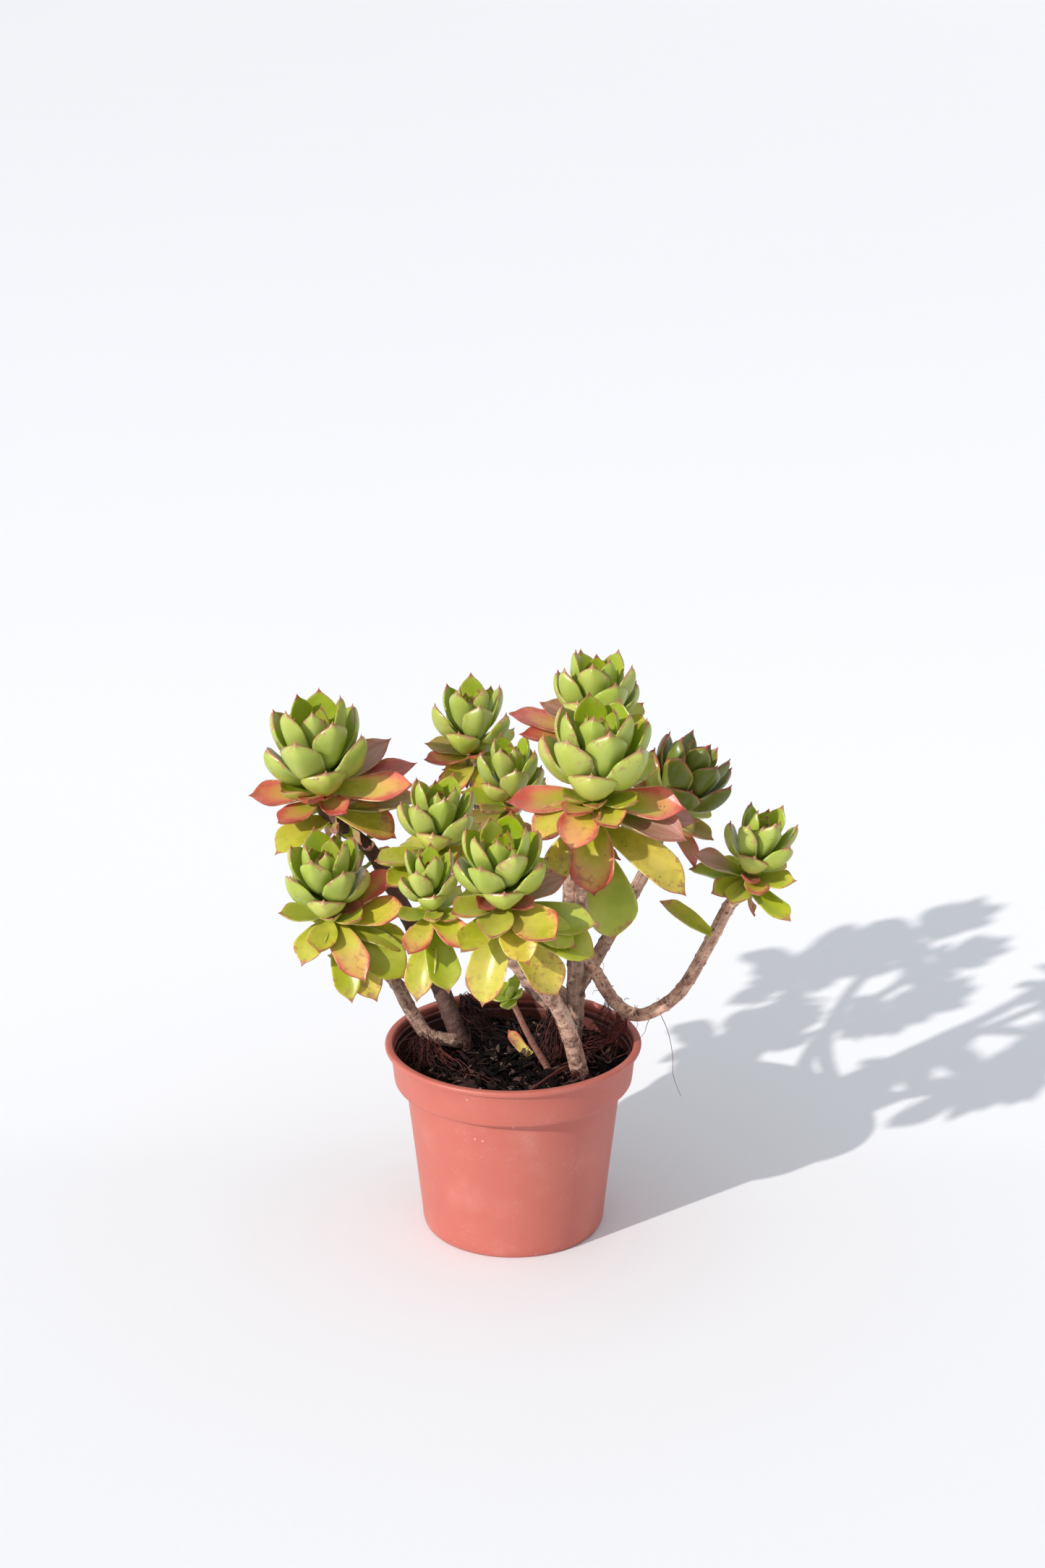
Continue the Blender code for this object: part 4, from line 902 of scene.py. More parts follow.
def build_stems(curves, material):
    """Woody stems, each trunk with its branches in one piece."""
    for node, branches in TRUNKS.items():
        soup = Soup()
        for index, branch in enumerate(branches):
            points = walk(curves[branch.rosette], 0.6, None, BARK_STEP)
            radii = blended_radii(branch, curves[branch.rosette], len(points))
            seed = index * 1.7 + len(node)
            ruddy = RUDDY_BARK.get(branch.rosette, COMMON_BARK)
            painted_shade = SHADED_BARK.get(branch.rosette, COMMON_BARK)
            skirt = ROSETTES[branch.rosette].skirt / (len(points) * BARK_STEP)
            # Tone: the bark's warmth, the share of the stem under old leaves, and its painted
            # shade
            add_tube(soup, points, radii, BARK_SIDES, (ruddy, skirt, painted_shade), seed,
                     bark_swell(points, radii, seed))
        soup.build(node.replace("stem", "bark"), material, [node])


# Offshoot and single leaves

def build_offshoot(shoot, bark, skin):
    """The thin young shoot and its six small leaves."""
    curve = offshoot_curve()
    soup = Soup()
    points = walk(curve, 0.0, None, BARK_STEP)
    radii = np.linspace(OFFSHOOT_RADIUS * 0.8, OFFSHOOT_RADIUS * 1.05, len(points))
    swell = 0.35 * bark_swell(points, radii, OFFSHOOT_SEED)
    add_tube(soup, points, radii, BARK_SIDES, (1.6, 0.0, 0.0), OFFSHOOT_SEED, swell)
    soup.build("offshoot_bark", bark, ["offshoot_stem"])
    soup = Soup()
    for leaf in shoot:
        add_leaf(soup, leaf, (0.1, -0.42, 0.0), SHOOT_AGE)
    top, axis = curve[0], (curve[0] - curve[8]).normalized()
    bud = [top + axis * OFFSHOOT_BUD_LENGTH * share for share in (-0.2, 0.3, 0.7, 1.0)]
    add_tube(soup, bud, [1.2, OFFSHOOT_BUD_RADIUS, 1.3, 0.5], 12, (0.15, 0.0, 0.0), 0.3)
    soup.build("offshoot_rosette", skin, ["offshoot_leaves"])


def build_single_leaves(material):
    """The lone leaf on the bare stem and the shed leaf on the soil."""
    for name, row, tone, age, slot in (
            ("lone_leaf", LONE_LEAF, (0.4, 0.36, 0.15), 0.4, "young_leaf"),
            ("shed_leaf", SHED_LEAF, (1.0, 0.72, 0.1), 1.0, "old_leaf")):
        soup = Soup()
        add_leaf(soup, single_leaf(row), tone, age)
        soup.build(name + "_detail", material, [name])


# Withered leaves: how many on each stem, where they start and how they follow one another,
# and what their sizes and angles lie between
REMNANTS = dict(zip("abcdefghijk", (18, 5, 5, 5, 7, 6, 3, 9, 7, 8, 6)))
REMNANT_REACH = 5.0
REMNANT_START = 0.55
REMNANT_STEPS = {"a": 2.4}
REMNANT_STEP = 1.8
REMNANT_TURN = 200.0
REMNANT_WIDTHS = (3.5, 6.5)
REMNANT_LENGTHS = (7.0, 13.0)
REMNANT_THICKNESS = 0.9
REMNANT_BENDS = (-60.0, 60.0)
REMNANT_ANGLES = (85.0, 140.0)


def dried_remnants(crowd, curves):
    """Small withered leaves that hang on the stems below the old leaves."""
    draws = np.random.default_rng(19)
    leaves = []
    for name, count in REMNANTS.items():
        rosette = ROSETTES[name]
        for index in range(count):
            drop = rosette.skirt * REMNANT_START + REMNANT_STEPS.get(name, REMNANT_STEP) * index
            here, ahead = walk(curves[name], drop, drop + 2.0, 2.0)[:2]
            axis = (here - ahead).normalized()
            width, length = draws.uniform(*REMNANT_WIDTHS), draws.uniform(*REMNANT_LENGTHS)
            bend, angle = draws.uniform(*REMNANT_BENDS), draws.uniform(*REMNANT_ANGLES)
            form = Form(length, width, REMNANT_THICKNESS, bend, SKIRT_NECK, 0.0)
            leaf = settle(crowd, "remnant", form, (here, REMNANT_REACH), axis,
                          REMNANT_TURN + GOLDEN_ANGLE * index, angle)
            if leaf:
                leaves.append(leaf._replace(root=leaf.root.lerp(here, 0.5)))
    return leaves


def build_remnants(leaves, material):
    """The withered leaves, all in one piece."""
    soup = Soup()
    for leaf in leaves:
        tone = (0.3, RANDOM.uniform(0.2, 0.9), RANDOM.uniform(0.6, 1.0))
        add_leaf(soup, leaf, tone, WITHERED_AGE)
    soup.build("dried_leaves", material)


# Roots and hairs: start, end, how many, spread at the ends, sag, radius, tone
ROOTS = (
    ((-36, 6, 79), (-36, -20, 69), 44, 10.0, 2.5, 0.16, 0.3),
    ((-33, 5, 78), (-18, -24, 70), 14, 6.0, 1.5, 0.22, 0.6),
    ((-40, 5, 79), (-43, -8, 70), 26, 6.0, 2.0, 0.15, 0.2),
    ((-20, 17, 92), (-13, 24, 70), 60, 6.0, -3.0, 0.2, 0.0),
    ((-20, 14, 84), (-6, 16, 70), 40, 9.0, 1.0, 0.15, 0.0),
    ((17, 9, 94), (15, 0, 70), 80, 6.5, 2.5, 0.19, 0.3),
    ((20, 11, 88), (20, -3, 70), 50, 5.0, 2.0, 0.2, 0.45),
    ((49, 5, 88), (31, 6, 76), 30, 6.0, 2.5, 0.18, 0.9),
    ((44, 8, 91), (40, 2, 72), 14, 5.0, 1.0, 0.14, 0.5),
    ((40, 9, 97), (36, 4, 78), 20, 6.0, 3.0, 0.1, 0.1),
    ((26, -17, 77), (24, -22, 69), 34, 7.0, 1.0, 0.18, 0.5),
    ((22, -16, 76), (3, -42, 76), 2, 2.0, -1.0, 0.5, 1.0),
)
# Single hairs that show: their points and radius
HAIRS = (
    (((59.7, 2.0, 92.5), (63.5, 0.0, 84.0), (65.5, -2.0, 74.0), (65.8, -3.0, 66.0),
      (69.0, -4.0, 57.0)), 0.16),
    (((57.0, 3.0, 91.0), (54.6, 1.0, 86.0), (54.0, -1.0, 84.5), (51.6, -2.0, 81.6)), 0.14),
    (((34.0, 6.0, 77.0), (39.0, -6.0, 75.0), (44.0, -8.0, 77.0), (48.6, -6.0, 78.5)), 0.2),
)
ROOT_POINTS = 9
ROOT_SIDES = 6
ROOTS_LOWEST = SOIL_TOP - 1.5
# Short hairs along bare stems: the stem, from and to what length down it, and how many
STEM_HAIRS = (("g", 60.0, 105.0, 16), ("f", 40.0, 80.0, 8), ("c", 30.0, 70.0, 8),
              ("a", 60.0, 120.0, 8))
HAIR_STEPS = 6


def root_path(start, end, spread, sag):
    """A wandering path between two points."""
    start = np.array(start, float) + RANDOM.normal(0.0, 0.16 * spread, 3)
    end = np.array(end, float) + RANDOM.normal(0.0, spread, 3) * (1.0, 0.8, 0.12)
    share = np.linspace(0.0, 1.0, ROOT_POINTS)[:, None]
    path = between(start, end, share)
    path[:, 2] -= sag * 4.0 * (share * (1.0 - share))[:, 0]
    path[1:] += np.cumsum(RANDOM.normal(0.0, 0.14 * spread, (ROOT_POINTS - 1, 3)), axis=0)
    path[:, 2] = np.maximum(path[:, 2], ROOTS_LOWEST)
    radius = np.maximum(1.0, np.hypot(path[:, 0], path[:, 1]))
    path[:, :2] *= np.minimum(1.0, (SOIL_EDGE - 1.0) / radius)[:, None]
    return [Vector(point) for point in path]


def build_roots(curves, material):
    """Fine aerial roots at the stems' feet, and hairs along the bare stems."""
    soup = Soup()
    for start, end, count, spread, sag, radius, tone in ROOTS:
        for _ in range(count):
            points = catmull_rom(root_path(start, end, spread, sag), 3)
            thickness = radius * RANDOM.uniform(0.55, 1.25)
            radii = np.linspace(thickness, thickness * 0.45, len(points))
            redness = float(np.clip(tone + RANDOM.normal(0.0, 0.2), 0.0, 1.0))
            add_tube(soup, points, radii, ROOT_SIDES, (redness, 0.0, 0.0),
                     RANDOM.uniform(0.0, 9.0))
    for row, radius in HAIRS:
        points = catmull_rom([Vector(point) for point in row], 6)
        radii = np.linspace(radius, radius * 0.5, len(points))
        add_tube(soup, points, radii, ROOT_SIDES, (0.7, 0.0, 0.0), 1.0)
    for name, low, high, count in STEM_HAIRS:
        for _ in range(count):
            add_stem_hair(soup, curves[name], RANDOM.uniform(low, high))
    soup.build("fine_roots", material)


def add_stem_hair(soup, curve, distance):
    """A short curling hair root that starts on a stem's skin."""
    here, ahead = walk(curve, distance, distance + 2.0, 2.0)[:2]
    along = (ahead - here).normalized()
    spoke = along.orthogonal()
    spoke.rotate(Matrix.Rotation(RANDOM.uniform(0.0, math.tau), 3, along))
    length = RANDOM.uniform(2.0, 6.5)
    curl = along.cross(spoke) * RANDOM.normal(0.0, 0.5)
    points = [here + spoke * 2.3]
    for step in range(HAIR_STEPS):
        share = (step + 1) / HAIR_STEPS
        drop = Vector((0.0, 0.0, -0.5 * share))
        direction = (spoke * (0.9 - 1.1 * share) + along * RANDOM.uniform(-0.7, 0.7)
                     + curl * share + drop)
        points.append(points[-1] + direction.normalized() * length / HAIR_STEPS)
    points = catmull_rom(points, 2)
    add_tube(soup, points, np.linspace(0.11, 0.05, len(points)), 5, (0.6, 0.0, 0.0),
             RANDOM.uniform(0.0, 9.0))


# Soil

SOIL_FINE_RINGS = 70
SOIL_FINE_SECTORS = 180
SOIL_GRAIN = 0.9


def fine_soil_height(x, y):
    """The compost's surface with crumbs."""
    coarse = noise.noise(Vector((x, y, 4.0)) * 0.42)
    fine = noise.noise(Vector((x, y, 8.0)) * 0.95)
    return soil_height(x, y) + SOIL_GRAIN * (coarse + 0.6 * fine)


def soil_sides():
    """Rings of the plug below its surface, as radius and height, fitting the pot's inside."""
    inner = GAP + WALL
    return (
        *near(BAND_BOTTOM_RADIUS - inner, BAND_BOTTOM_Z, (-0.2, 2.6), (-1.2, 1.3)),
        *near(BODY_TOP_RADIUS - inner, BAND_BOTTOM_Z, (0.1, -0.3), (-0.1, -3.0)),
        (BODY_FOOT_RADIUS - inner, 5.2),
        (FOOT_RADIUS - inner - 0.4, FLOOR + RECESS_DEPTH + GAP),
    )


def build_soil(material):
    """The plug of compost with a crumbly top."""
    phi = np.linspace(0.0, math.tau, SOIL_FINE_SECTORS, endpoint=False)
    points = []
    for ring in range(1, SOIL_FINE_RINGS + 1):
        radius = (SOIL_EDGE - 0.3) * ring / SOIL_FINE_RINGS
        for angle in phi:
            x, y = radius * math.cos(angle), radius * math.sin(angle)
            points.append((x, y, fine_soil_height(x, y)))
    for radius, height in soil_sides():
        points += [(radius * math.cos(angle), radius * math.sin(angle), height) for angle in phi]
    points += [(0.0, 0.0, fine_soil_height(0.0, 0.0)), (0.0, 0.0, soil_sides()[-1][1])]
    points = np.array(points)
    faces = grid_faces(SOIL_FINE_RINGS + len(soil_sides()), SOIL_FINE_SECTORS)
    soup = Soup()
    soup.add(points, [face[::-1] for face in faces], points * 0.01, (0.0, 0.0, 0.0), 0.0)
    soup.build("compost", material, ["soil"])


CHIP_COUNT = 1700
CHIP_CORNERS = 7
CHIP_LENGTHS = (2.0, 12.5)


def chip_points(length, width, thick):
    """An irregular flat splinter, its faces slightly domed."""
    phi = np.linspace(0.0, math.tau, CHIP_CORNERS, endpoint=False)
    phi = phi + RANDOM.uniform(-0.25, 0.25, CHIP_CORNERS)
    rim = RANDOM.uniform(0.72, 1.15, CHIP_CORNERS)
    x, y = 0.5 * length * np.cos(phi) * rim, 0.5 * width * np.sin(phi) * rim
    bend = RANDOM.normal(0.0, 0.12) * x ** 2 / length
    low = np.stack([x, y, bend - 0.5 * thick * RANDOM.uniform(0.5, 1.0, CHIP_CORNERS)], axis=-1)
    high = np.stack([x * 0.86, y * 0.8,
                     bend + 0.5 * thick * RANDOM.uniform(0.5, 1.0, CHIP_CORNERS)], axis=-1)
    ends = [(0.0, 0.0, -0.7 * thick), (0.0, 0.0, 0.7 * thick)]
    place = np.concatenate([low, high, ends])
    return place, place / (0.5 * length)


def build_chips(material):
    """Bark chips and splinters strewn over the compost."""
    soup = Soup()
    faces = grid_faces(2, CHIP_CORNERS)
    for _ in range(CHIP_COUNT):
        size = RANDOM.uniform(0.0, 1.0) ** 1.9
        length = between(*CHIP_LENGTHS, size)
        radius = (SOIL_EDGE - 1.5 - 0.6 * length) * math.sqrt(RANDOM.uniform())
        angle = RANDOM.uniform(0.0, math.tau)
        width = length * RANDOM.uniform(0.14, 0.42)
        points, place = chip_points(length, width, 0.3 + 0.1 * width)
        tilt = (Matrix.Rotation(RANDOM.normal(0.0, 0.7), 3, "X")
                @ Matrix.Rotation(RANDOM.normal(0.0, 0.5), 3, "Y"))
        turn = Matrix.Rotation(RANDOM.uniform(0.0, math.tau), 3, "Z") @ tilt
        x, y = radius * math.cos(angle), radius * math.sin(angle)
        points = points @ np.array(turn).T
        points += (x, y, fine_soil_height(x, y) + RANDOM.uniform(-0.1, 1.6))
        shade = RANDOM.uniform(0.0, 1.0) ** 3.0
        soup.add(points, faces, place, (shade, RANDOM.uniform(), 0.0), RANDOM.uniform(0.0, 20.0))
    soup.build("bark_chips", material).data.shade_flat()


# Pot

POT_STEPS = 160


def near(radius, height, *offsets):
    """Points of an outline beside one of its corners."""
    return [(radius + out, height + up) for out, up in offsets]


def pot_profile():
    """The pot's outline: up the inside from the floor's middle, over the lip, down the outside."""
    return [
        *near(0.0, FLOOR + RECESS_DEPTH, (0.0, 0.0), (FOOT_RADIUS - 2.0, 0.0)),
        (FOOT_RADIUS - 0.6, 3.0), (BODY_FOOT_RADIUS - WALL, 5.0),
        *near(BODY_TOP_RADIUS, BAND_BOTTOM_Z, (-WALL, -2.5), (-0.2, -0.6)),
        *near(BAND_BOTTOM_RADIUS, BAND_BOTTOM_Z, (-1.6, 0.6), (-WALL, 2.0)),
        # Two moulded rings inside the rim
        (48.2, 73.6), (48.75, 74.0), (48.8, 74.5), (48.6, 74.8),
        (48.7, 76.8), (49.1, 77.1), (49.15, 77.5), (48.9, 77.8),
        *near(BAND_TOP_RADIUS, POT_HEIGHT, (-0.95, -0.9), (-0.75, -0.25), (-0.2, 0.0)),
        *near(LIP_RADIUS, POT_HEIGHT, (-1.0, 0.0), (-0.35, -0.2), (0.0, -0.8), (-0.05, -1.5),
              (-0.45, -LIP_HEIGHT), (-1.0, -LIP_HEIGHT - 0.05)),
        *near(BAND_TOP_RADIUS, POT_HEIGHT - LIP_HEIGHT, (0.25, -0.1), (0.0, -0.5)),
        (BAND_TOP_RADIUS - 0.6, 72.0),
        *near(BAND_BOTTOM_RADIUS, BAND_BOTTOM_Z, (0.03, 1.8), (-0.12, 0.9), (-0.5, 0.25),
              (-1.1, 0.0)),
        *near(BODY_TOP_RADIUS, BAND_BOTTOM_Z, (1.6, -0.9), (0.5, -1.5), (0.05, -2.4),
              (-0.1, -4.0)),
        (41.0, 34.0),
        *near(BODY_FOOT_RADIUS, 0.0, (0.1, 6.0), (-0.1, 3.4), (-0.5, 1.6), (-1.0, 0.6)),
        (FOOT_RADIUS, 0.0),
        *near(RECESS_OUTER, 0.0, (0.4, 0.0), (0.0, 0.3), (-0.4, RECESS_DEPTH)),
        *near(RECESS_INNER, 0.0, (0.4, RECESS_DEPTH), (0.0, 0.3), (-0.4, 0.0)),
        (0.0, 0.0),
    ]


# Chewed places of the rim: heading and spread in degrees, and depth
NICKS = ((38.0, 3.0, 0.5), (46.0, 2.2, 0.35), (57.0, 4.0, 0.45), (29.0, 1.8, 0.3),
         (196.0, 1.5, 0.25))


def pot_point(radius, angle, height):
    """A point of the pot, its rim a little out of round and chewed at the rear."""
    high = smooth(height, 60.0, POT_HEIGHT)
    radius = radius * (1.0 + 0.004 * high * math.sin(2.0 * angle + 0.6)
                       - 0.0015 * high * math.sin(5.0 * angle))
    if height > POT_HEIGHT - 1.2:
        for where, spread, depth in NICKS:
            apart = (math.degrees(angle) - where + 180.0) % 360.0 - 180.0
            height -= depth * math.exp(-(apart / spread) ** 2)
        height -= 0.12 + 0.12 * math.sin(3.0 * angle + 1.0)
    return radius * math.cos(angle), radius * math.sin(angle), height


def build_pot(material):
    """The thin moulded pot with a ring of drainage holes."""
    outline = pot_profile()
    points = [pot_point(radius, math.tau * index / POT_STEPS, height)
              for radius, height in outline[1:-1] for index in range(POT_STEPS)]
    points += [(0.0, 0.0, outline[0][1]), (0.0, 0.0, 0.0)]
    faces = grid_faces(len(outline) - 2, POT_STEPS)
    pot = put_in_scene("pot_shell", make_mesh("pot_shell", np.array(points) * MM, faces, material))
    shape = bmesh.new()
    for index in range(DRAIN_COUNT):
        angle = math.tau * (index + 0.5) / DRAIN_COUNT
        where = Vector((DRAIN_CIRCLE * math.cos(angle), DRAIN_CIRCLE * math.sin(angle), 1.0)) * MM
        bmesh.ops.create_cone(shape, cap_ends=True, segments=32, radius1=DRAIN_RADIUS * MM,
                              radius2=DRAIN_RADIUS * MM, depth=8.0 * MM,
                              matrix=Matrix.Translation(where))
    drains = bpy.data.meshes.new("drains")
    shape.to_mesh(drains)
    shape.free()
    cutter = put_in_scene("drains", drains)
    boolean = pot.modifiers.new("Drains", "BOOLEAN")
    boolean.operation = "DIFFERENCE"
    boolean.object = cutter
    bpy.context.view_layer.update()
    evaluated = pot.evaluated_get(bpy.context.evaluated_depsgraph_get())
    finished = bpy.data.meshes.new_from_object(evaluated)
    pot.modifiers.clear()
    pot.data = finished
    bpy.data.objects.remove(cutter, do_unlink=True)
    finished.shade_smooth()
    finished.set_sharp_from_angle(angle=math.radians(50))
    settle_piece(pot, ["pot"])


# Materials

class Value:
    """A number or colour of a paint's node tree, which is reckoned with like a plain number."""

    def __init__(self, paint, socket):
        self.paint, self.socket = paint, socket

    def reckon(self, operation, other=0.0):
        """The outcome of an operation on this and another value."""
        return self.paint.math(operation, self, other)

    def __rsub__(self, other):
        return self.paint.math("SUBTRACT", other, self)

    __add__ = __radd__ = partialmethod(reckon, "ADD")
    __sub__ = partialmethod(reckon, "SUBTRACT")
    __mul__ = __rmul__ = partialmethod(reckon, "MULTIPLY")
    __pow__ = partialmethod(reckon, "POWER")
    __lt__ = partialmethod(reckon, "LESS_THAN")
    __abs__ = partialmethod(reckon, "ABSOLUTE")

    def step(self, low, high):
        """Smooth step from 0 at low to 1 at high."""
        return self.paint.read("Result", "ShaderNodeMapRange",
                               {"Value": self, "From Min": low, "From Max": high},
                               interpolation_type="SMOOTHSTEP")


class Paint:
    """A Principled material whose colour is built coat over coat."""

    def __init__(self, name):
        self.material = bpy.data.materials.new(name)
        self.material.use_nodes = True
        self.tree = self.material.node_tree
        self.shader = self.tree.nodes["Principled BSDF"].inputs
        self.spot = self.read("Object", "ShaderNodeTexCoord")
        self.colour = None

    def add(self, kind, inputs=(), **settings):
        """A node with its settings and inputs, each a number, colour, value or socket."""
        node = self.tree.nodes.new(kind)
        for key, value in settings.items():
            setattr(node, key, value)
        for key, value in dict(inputs).items():
            self.put(node.inputs[key], value)
        return node

    def read(self, output, kind, inputs=(), **settings):
        """One output of a new node."""
        return Value(self, self.add(kind, inputs, **settings).outputs[output])

    def put(self, socket, value):
        """Set or link an input."""
        value = value.socket if isinstance(value, Value) else value
        if isinstance(value, bpy.types.NodeSocket):
            self.tree.links.new(value, socket)
        elif socket.type == "RGBA" and len(value) == 3:
            socket.default_value = (*value, 1.0)
        else:
            socket.default_value = value

    def math(self, operation, first, second=0.0):
        """Arithmetic on one or two values."""
        return self.read(0, "ShaderNodeMath", {0: first, 1: second}, operation=operation)

    def mix(self, factor, first, second):
        """A colour between two."""
        return self.read(2, "ShaderNodeMix", {0: factor, 6: first, 7: second},
                         data_type="RGBA", clamp_factor=True)

    def coat(self, share, colour):
        """Lay a colour over what is there."""
        self.colour = self.mix(share, self.colour, colour)

    def noise(self, scale, detail=2.0, spot=None, w=0.0, distortion=0.0):
        """Noise between about 0.2 and 0.8."""
        return self.read("Fac", "ShaderNodeTexNoise",
                         {"Vector": spot or self.spot, "W": w, "Scale": scale, "Detail": detail,
                          "Distortion": distortion}, noise_dimensions="4D")

    def cells(self, scale, w=0.0):
        """Distance to the nearest random point, and that point's own random number."""
        node = self.add("ShaderNodeTexVoronoi", {"Vector": self.spot, "W": w, "Scale": scale},
                        voronoi_dimensions="4D")
        own = self.read("Red", "ShaderNodeSeparateColor", {"Color": node.outputs["Color"]})
        return Value(self, node.outputs["Distance"]), own

    def parts(self, vector):
        """The three parts of a vector."""
        outputs = self.add("ShaderNodeSeparateXYZ", {"Vector": vector}).outputs
        return [Value(self, output) for output in outputs]

    def attribute(self, name, output="Vector"):
        """An attribute of the mesh's points."""
        return self.read(output, "ShaderNodeAttribute", attribute_name=name)

    def pack(self, x, y, z):
        """A vector of three values."""
        return self.read("Vector", "ShaderNodeCombineXYZ", {"X": x, "Y": y, "Z": z})

    def finish(self, roughness, height, depth, strength=1.0, specular=0.5):
        """Wire colour, roughness and relief into the shader."""
        normal = self.read("Normal", "ShaderNodeBump",
                           {"Height": height, "Distance": depth, "Strength": strength})
        for key, value in (("Base Color", self.colour), ("Roughness", roughness),
                           ("Normal", normal), ("Specular IOR Level", specular)):
            self.put(self.shader[key], value)
        return self.material


def leaf_paint():
    """Waxy leaf skin: green to yellow, coral blush, dark tip, red margin, specks and bloom."""
    paint = Paint("leaf_skin")
    t, u, side = paint.parts(paint.attribute("place"))
    ripe, blush, dry = paint.parts(paint.attribute("tone"))
    seed = paint.attribute("seed", "Fac") * 31.0
    edge = abs(u)
    rim = edge ** 4.0
    patch = paint.noise(110.0, 2.0, w=seed)
    broad = paint.noise(60.0, 1.0, w=seed + 5.0)
    fine = paint.noise(900.0, 3.0, w=seed)
    lines = paint.noise(1.0, 3.0, spot=paint.pack(t * 1.6, u * 9.0, seed))

    # Green that turns yellow with age, a little mottled
    back = side.step(0.25, -0.35)
    paint.colour = paint.mix(back, (0.265, 0.365, 0.005), (0.35, 0.44, 0.042))
    paint.coat(patch.step(0.62, 0.4), (0.285, 0.39, 0.012))
    # Painted shade: a ripeness below nought darkens the green, for heads that stand in shade
    paint.coat(ripe.step(-0.05, -0.4), (0.145, 0.175, 0.02))
    age = ripe + broad * 0.5 + t * 0.12 - 0.28
    paint.coat(age.step(0.12, 0.52), (0.44, 0.44, 0.022))
    paint.coat(age.step(0.45, 0.85), (0.68, 0.53, 0.06))
    mottle = paint.noise(240.0, 3.0, w=seed, distortion=0.5).step(0.42, 0.6)
    shaded = paint.mix(mottle, (0.18, 0.21, 0.008), (0.66, 0.54, 0.10))
    paint.coat(paint.math("MAXIMUM", ripe, 0.0) * 0.28, shaded)

    # Red that spreads from the tip and the margins
    reach = blush * 1.25 + t * 0.8 + rim * (blush + 0.15) * 0.75 + patch * 0.5 + broad * 0.5 - 1.98
    warm = paint.mix(ripe.step(0.15, 0.6), (0.42, 0.25, 0.05), (0.68, 0.38, 0.09))
    paint.coat(reach.step(-0.2, 0.12) * 0.85, warm)
    redness = reach.step(0.0, 0.42)
    coral = paint.mix(patch.step(0.35, 0.65), (0.70, 0.17, 0.125), (0.54, 0.06, 0.06))
    paint.coat(redness * 0.92, coral)

    # Dried skin
    dried = paint.mix(lines.step(0.35, 0.65), (0.33, 0.115, 0.12), (0.48, 0.24, 0.225))
    paint.coat(dry * (t + broad * 0.6).step(0.35, 0.95), dried)

    # Pale margins as a painted highlight, red margins, and the dark tip
    fresh = blush.step(-0.1, -0.3)
    grown = 1.0 - fresh
    # Painted highlight: a pale line along the margins, on the lower part of every leaf and all
    # along the fresh ones
    pale = edge.step(0.9, 0.99) * paint.math("MAXIMUM", t.step(0.8, 0.5), fresh)
    paint.coat(pale * 0.5, (0.62, 0.68, 0.34))
    ragged = t + patch * 0.4 + broad * 0.5 + blush * 0.2
    margin = edge.step(0.84, 0.98) * ragged.step(1.26, 1.42)
    paint.coat(margin * grown * 0.85, (0.26, 0.045, 0.04))
    tip = (t + rim * 0.03).step(0.94, 1.01)
    paint.coat(tip * grown * 0.9, (0.30, 0.05, 0.045))

    # Scabs, specks and waxy bloom
    scabs = paint.noise(420.0, 4.0, w=seed, distortion=0.8).step(0.52, 0.6)
    worn = (t * 0.62 + rim * 0.35 + patch * 0.8 + ripe * 0.3).step(0.96, 1.22)
    paint.coat(scabs * worn * 0.75, (0.36, 0.13, 0.065))
    distance, own = paint.cells(620.0, w=seed)
    specks = (distance < 0.24) * (own < ripe * 0.25 + 0.03)
    paint.coat(specks * 0.75, (0.13, 0.05, 0.02))
    waxy = (1.0 - redness) * ripe.step(-0.35, 0.1)
    paint.coat((broad.step(0.35, 0.7) + back) * waxy * 0.1, (0.72, 0.74, 0.42))

    paint.shader["Subsurface Weight"].default_value = 0.3
    paint.shader["Subsurface Radius"].default_value = (1.0, 0.8, 0.05)
    paint.shader["Subsurface Scale"].default_value = 0.003
    roughness = 0.27 + fine * 0.12 + dry * 0.2 - edge.step(0.8, 0.97) * 0.12
    height = fine * 0.08 + lines * (dry * 0.4 + 0.05) + patch * 0.6
    return paint.finish(roughness, height, 0.0006, 0.5, specular=0.42)


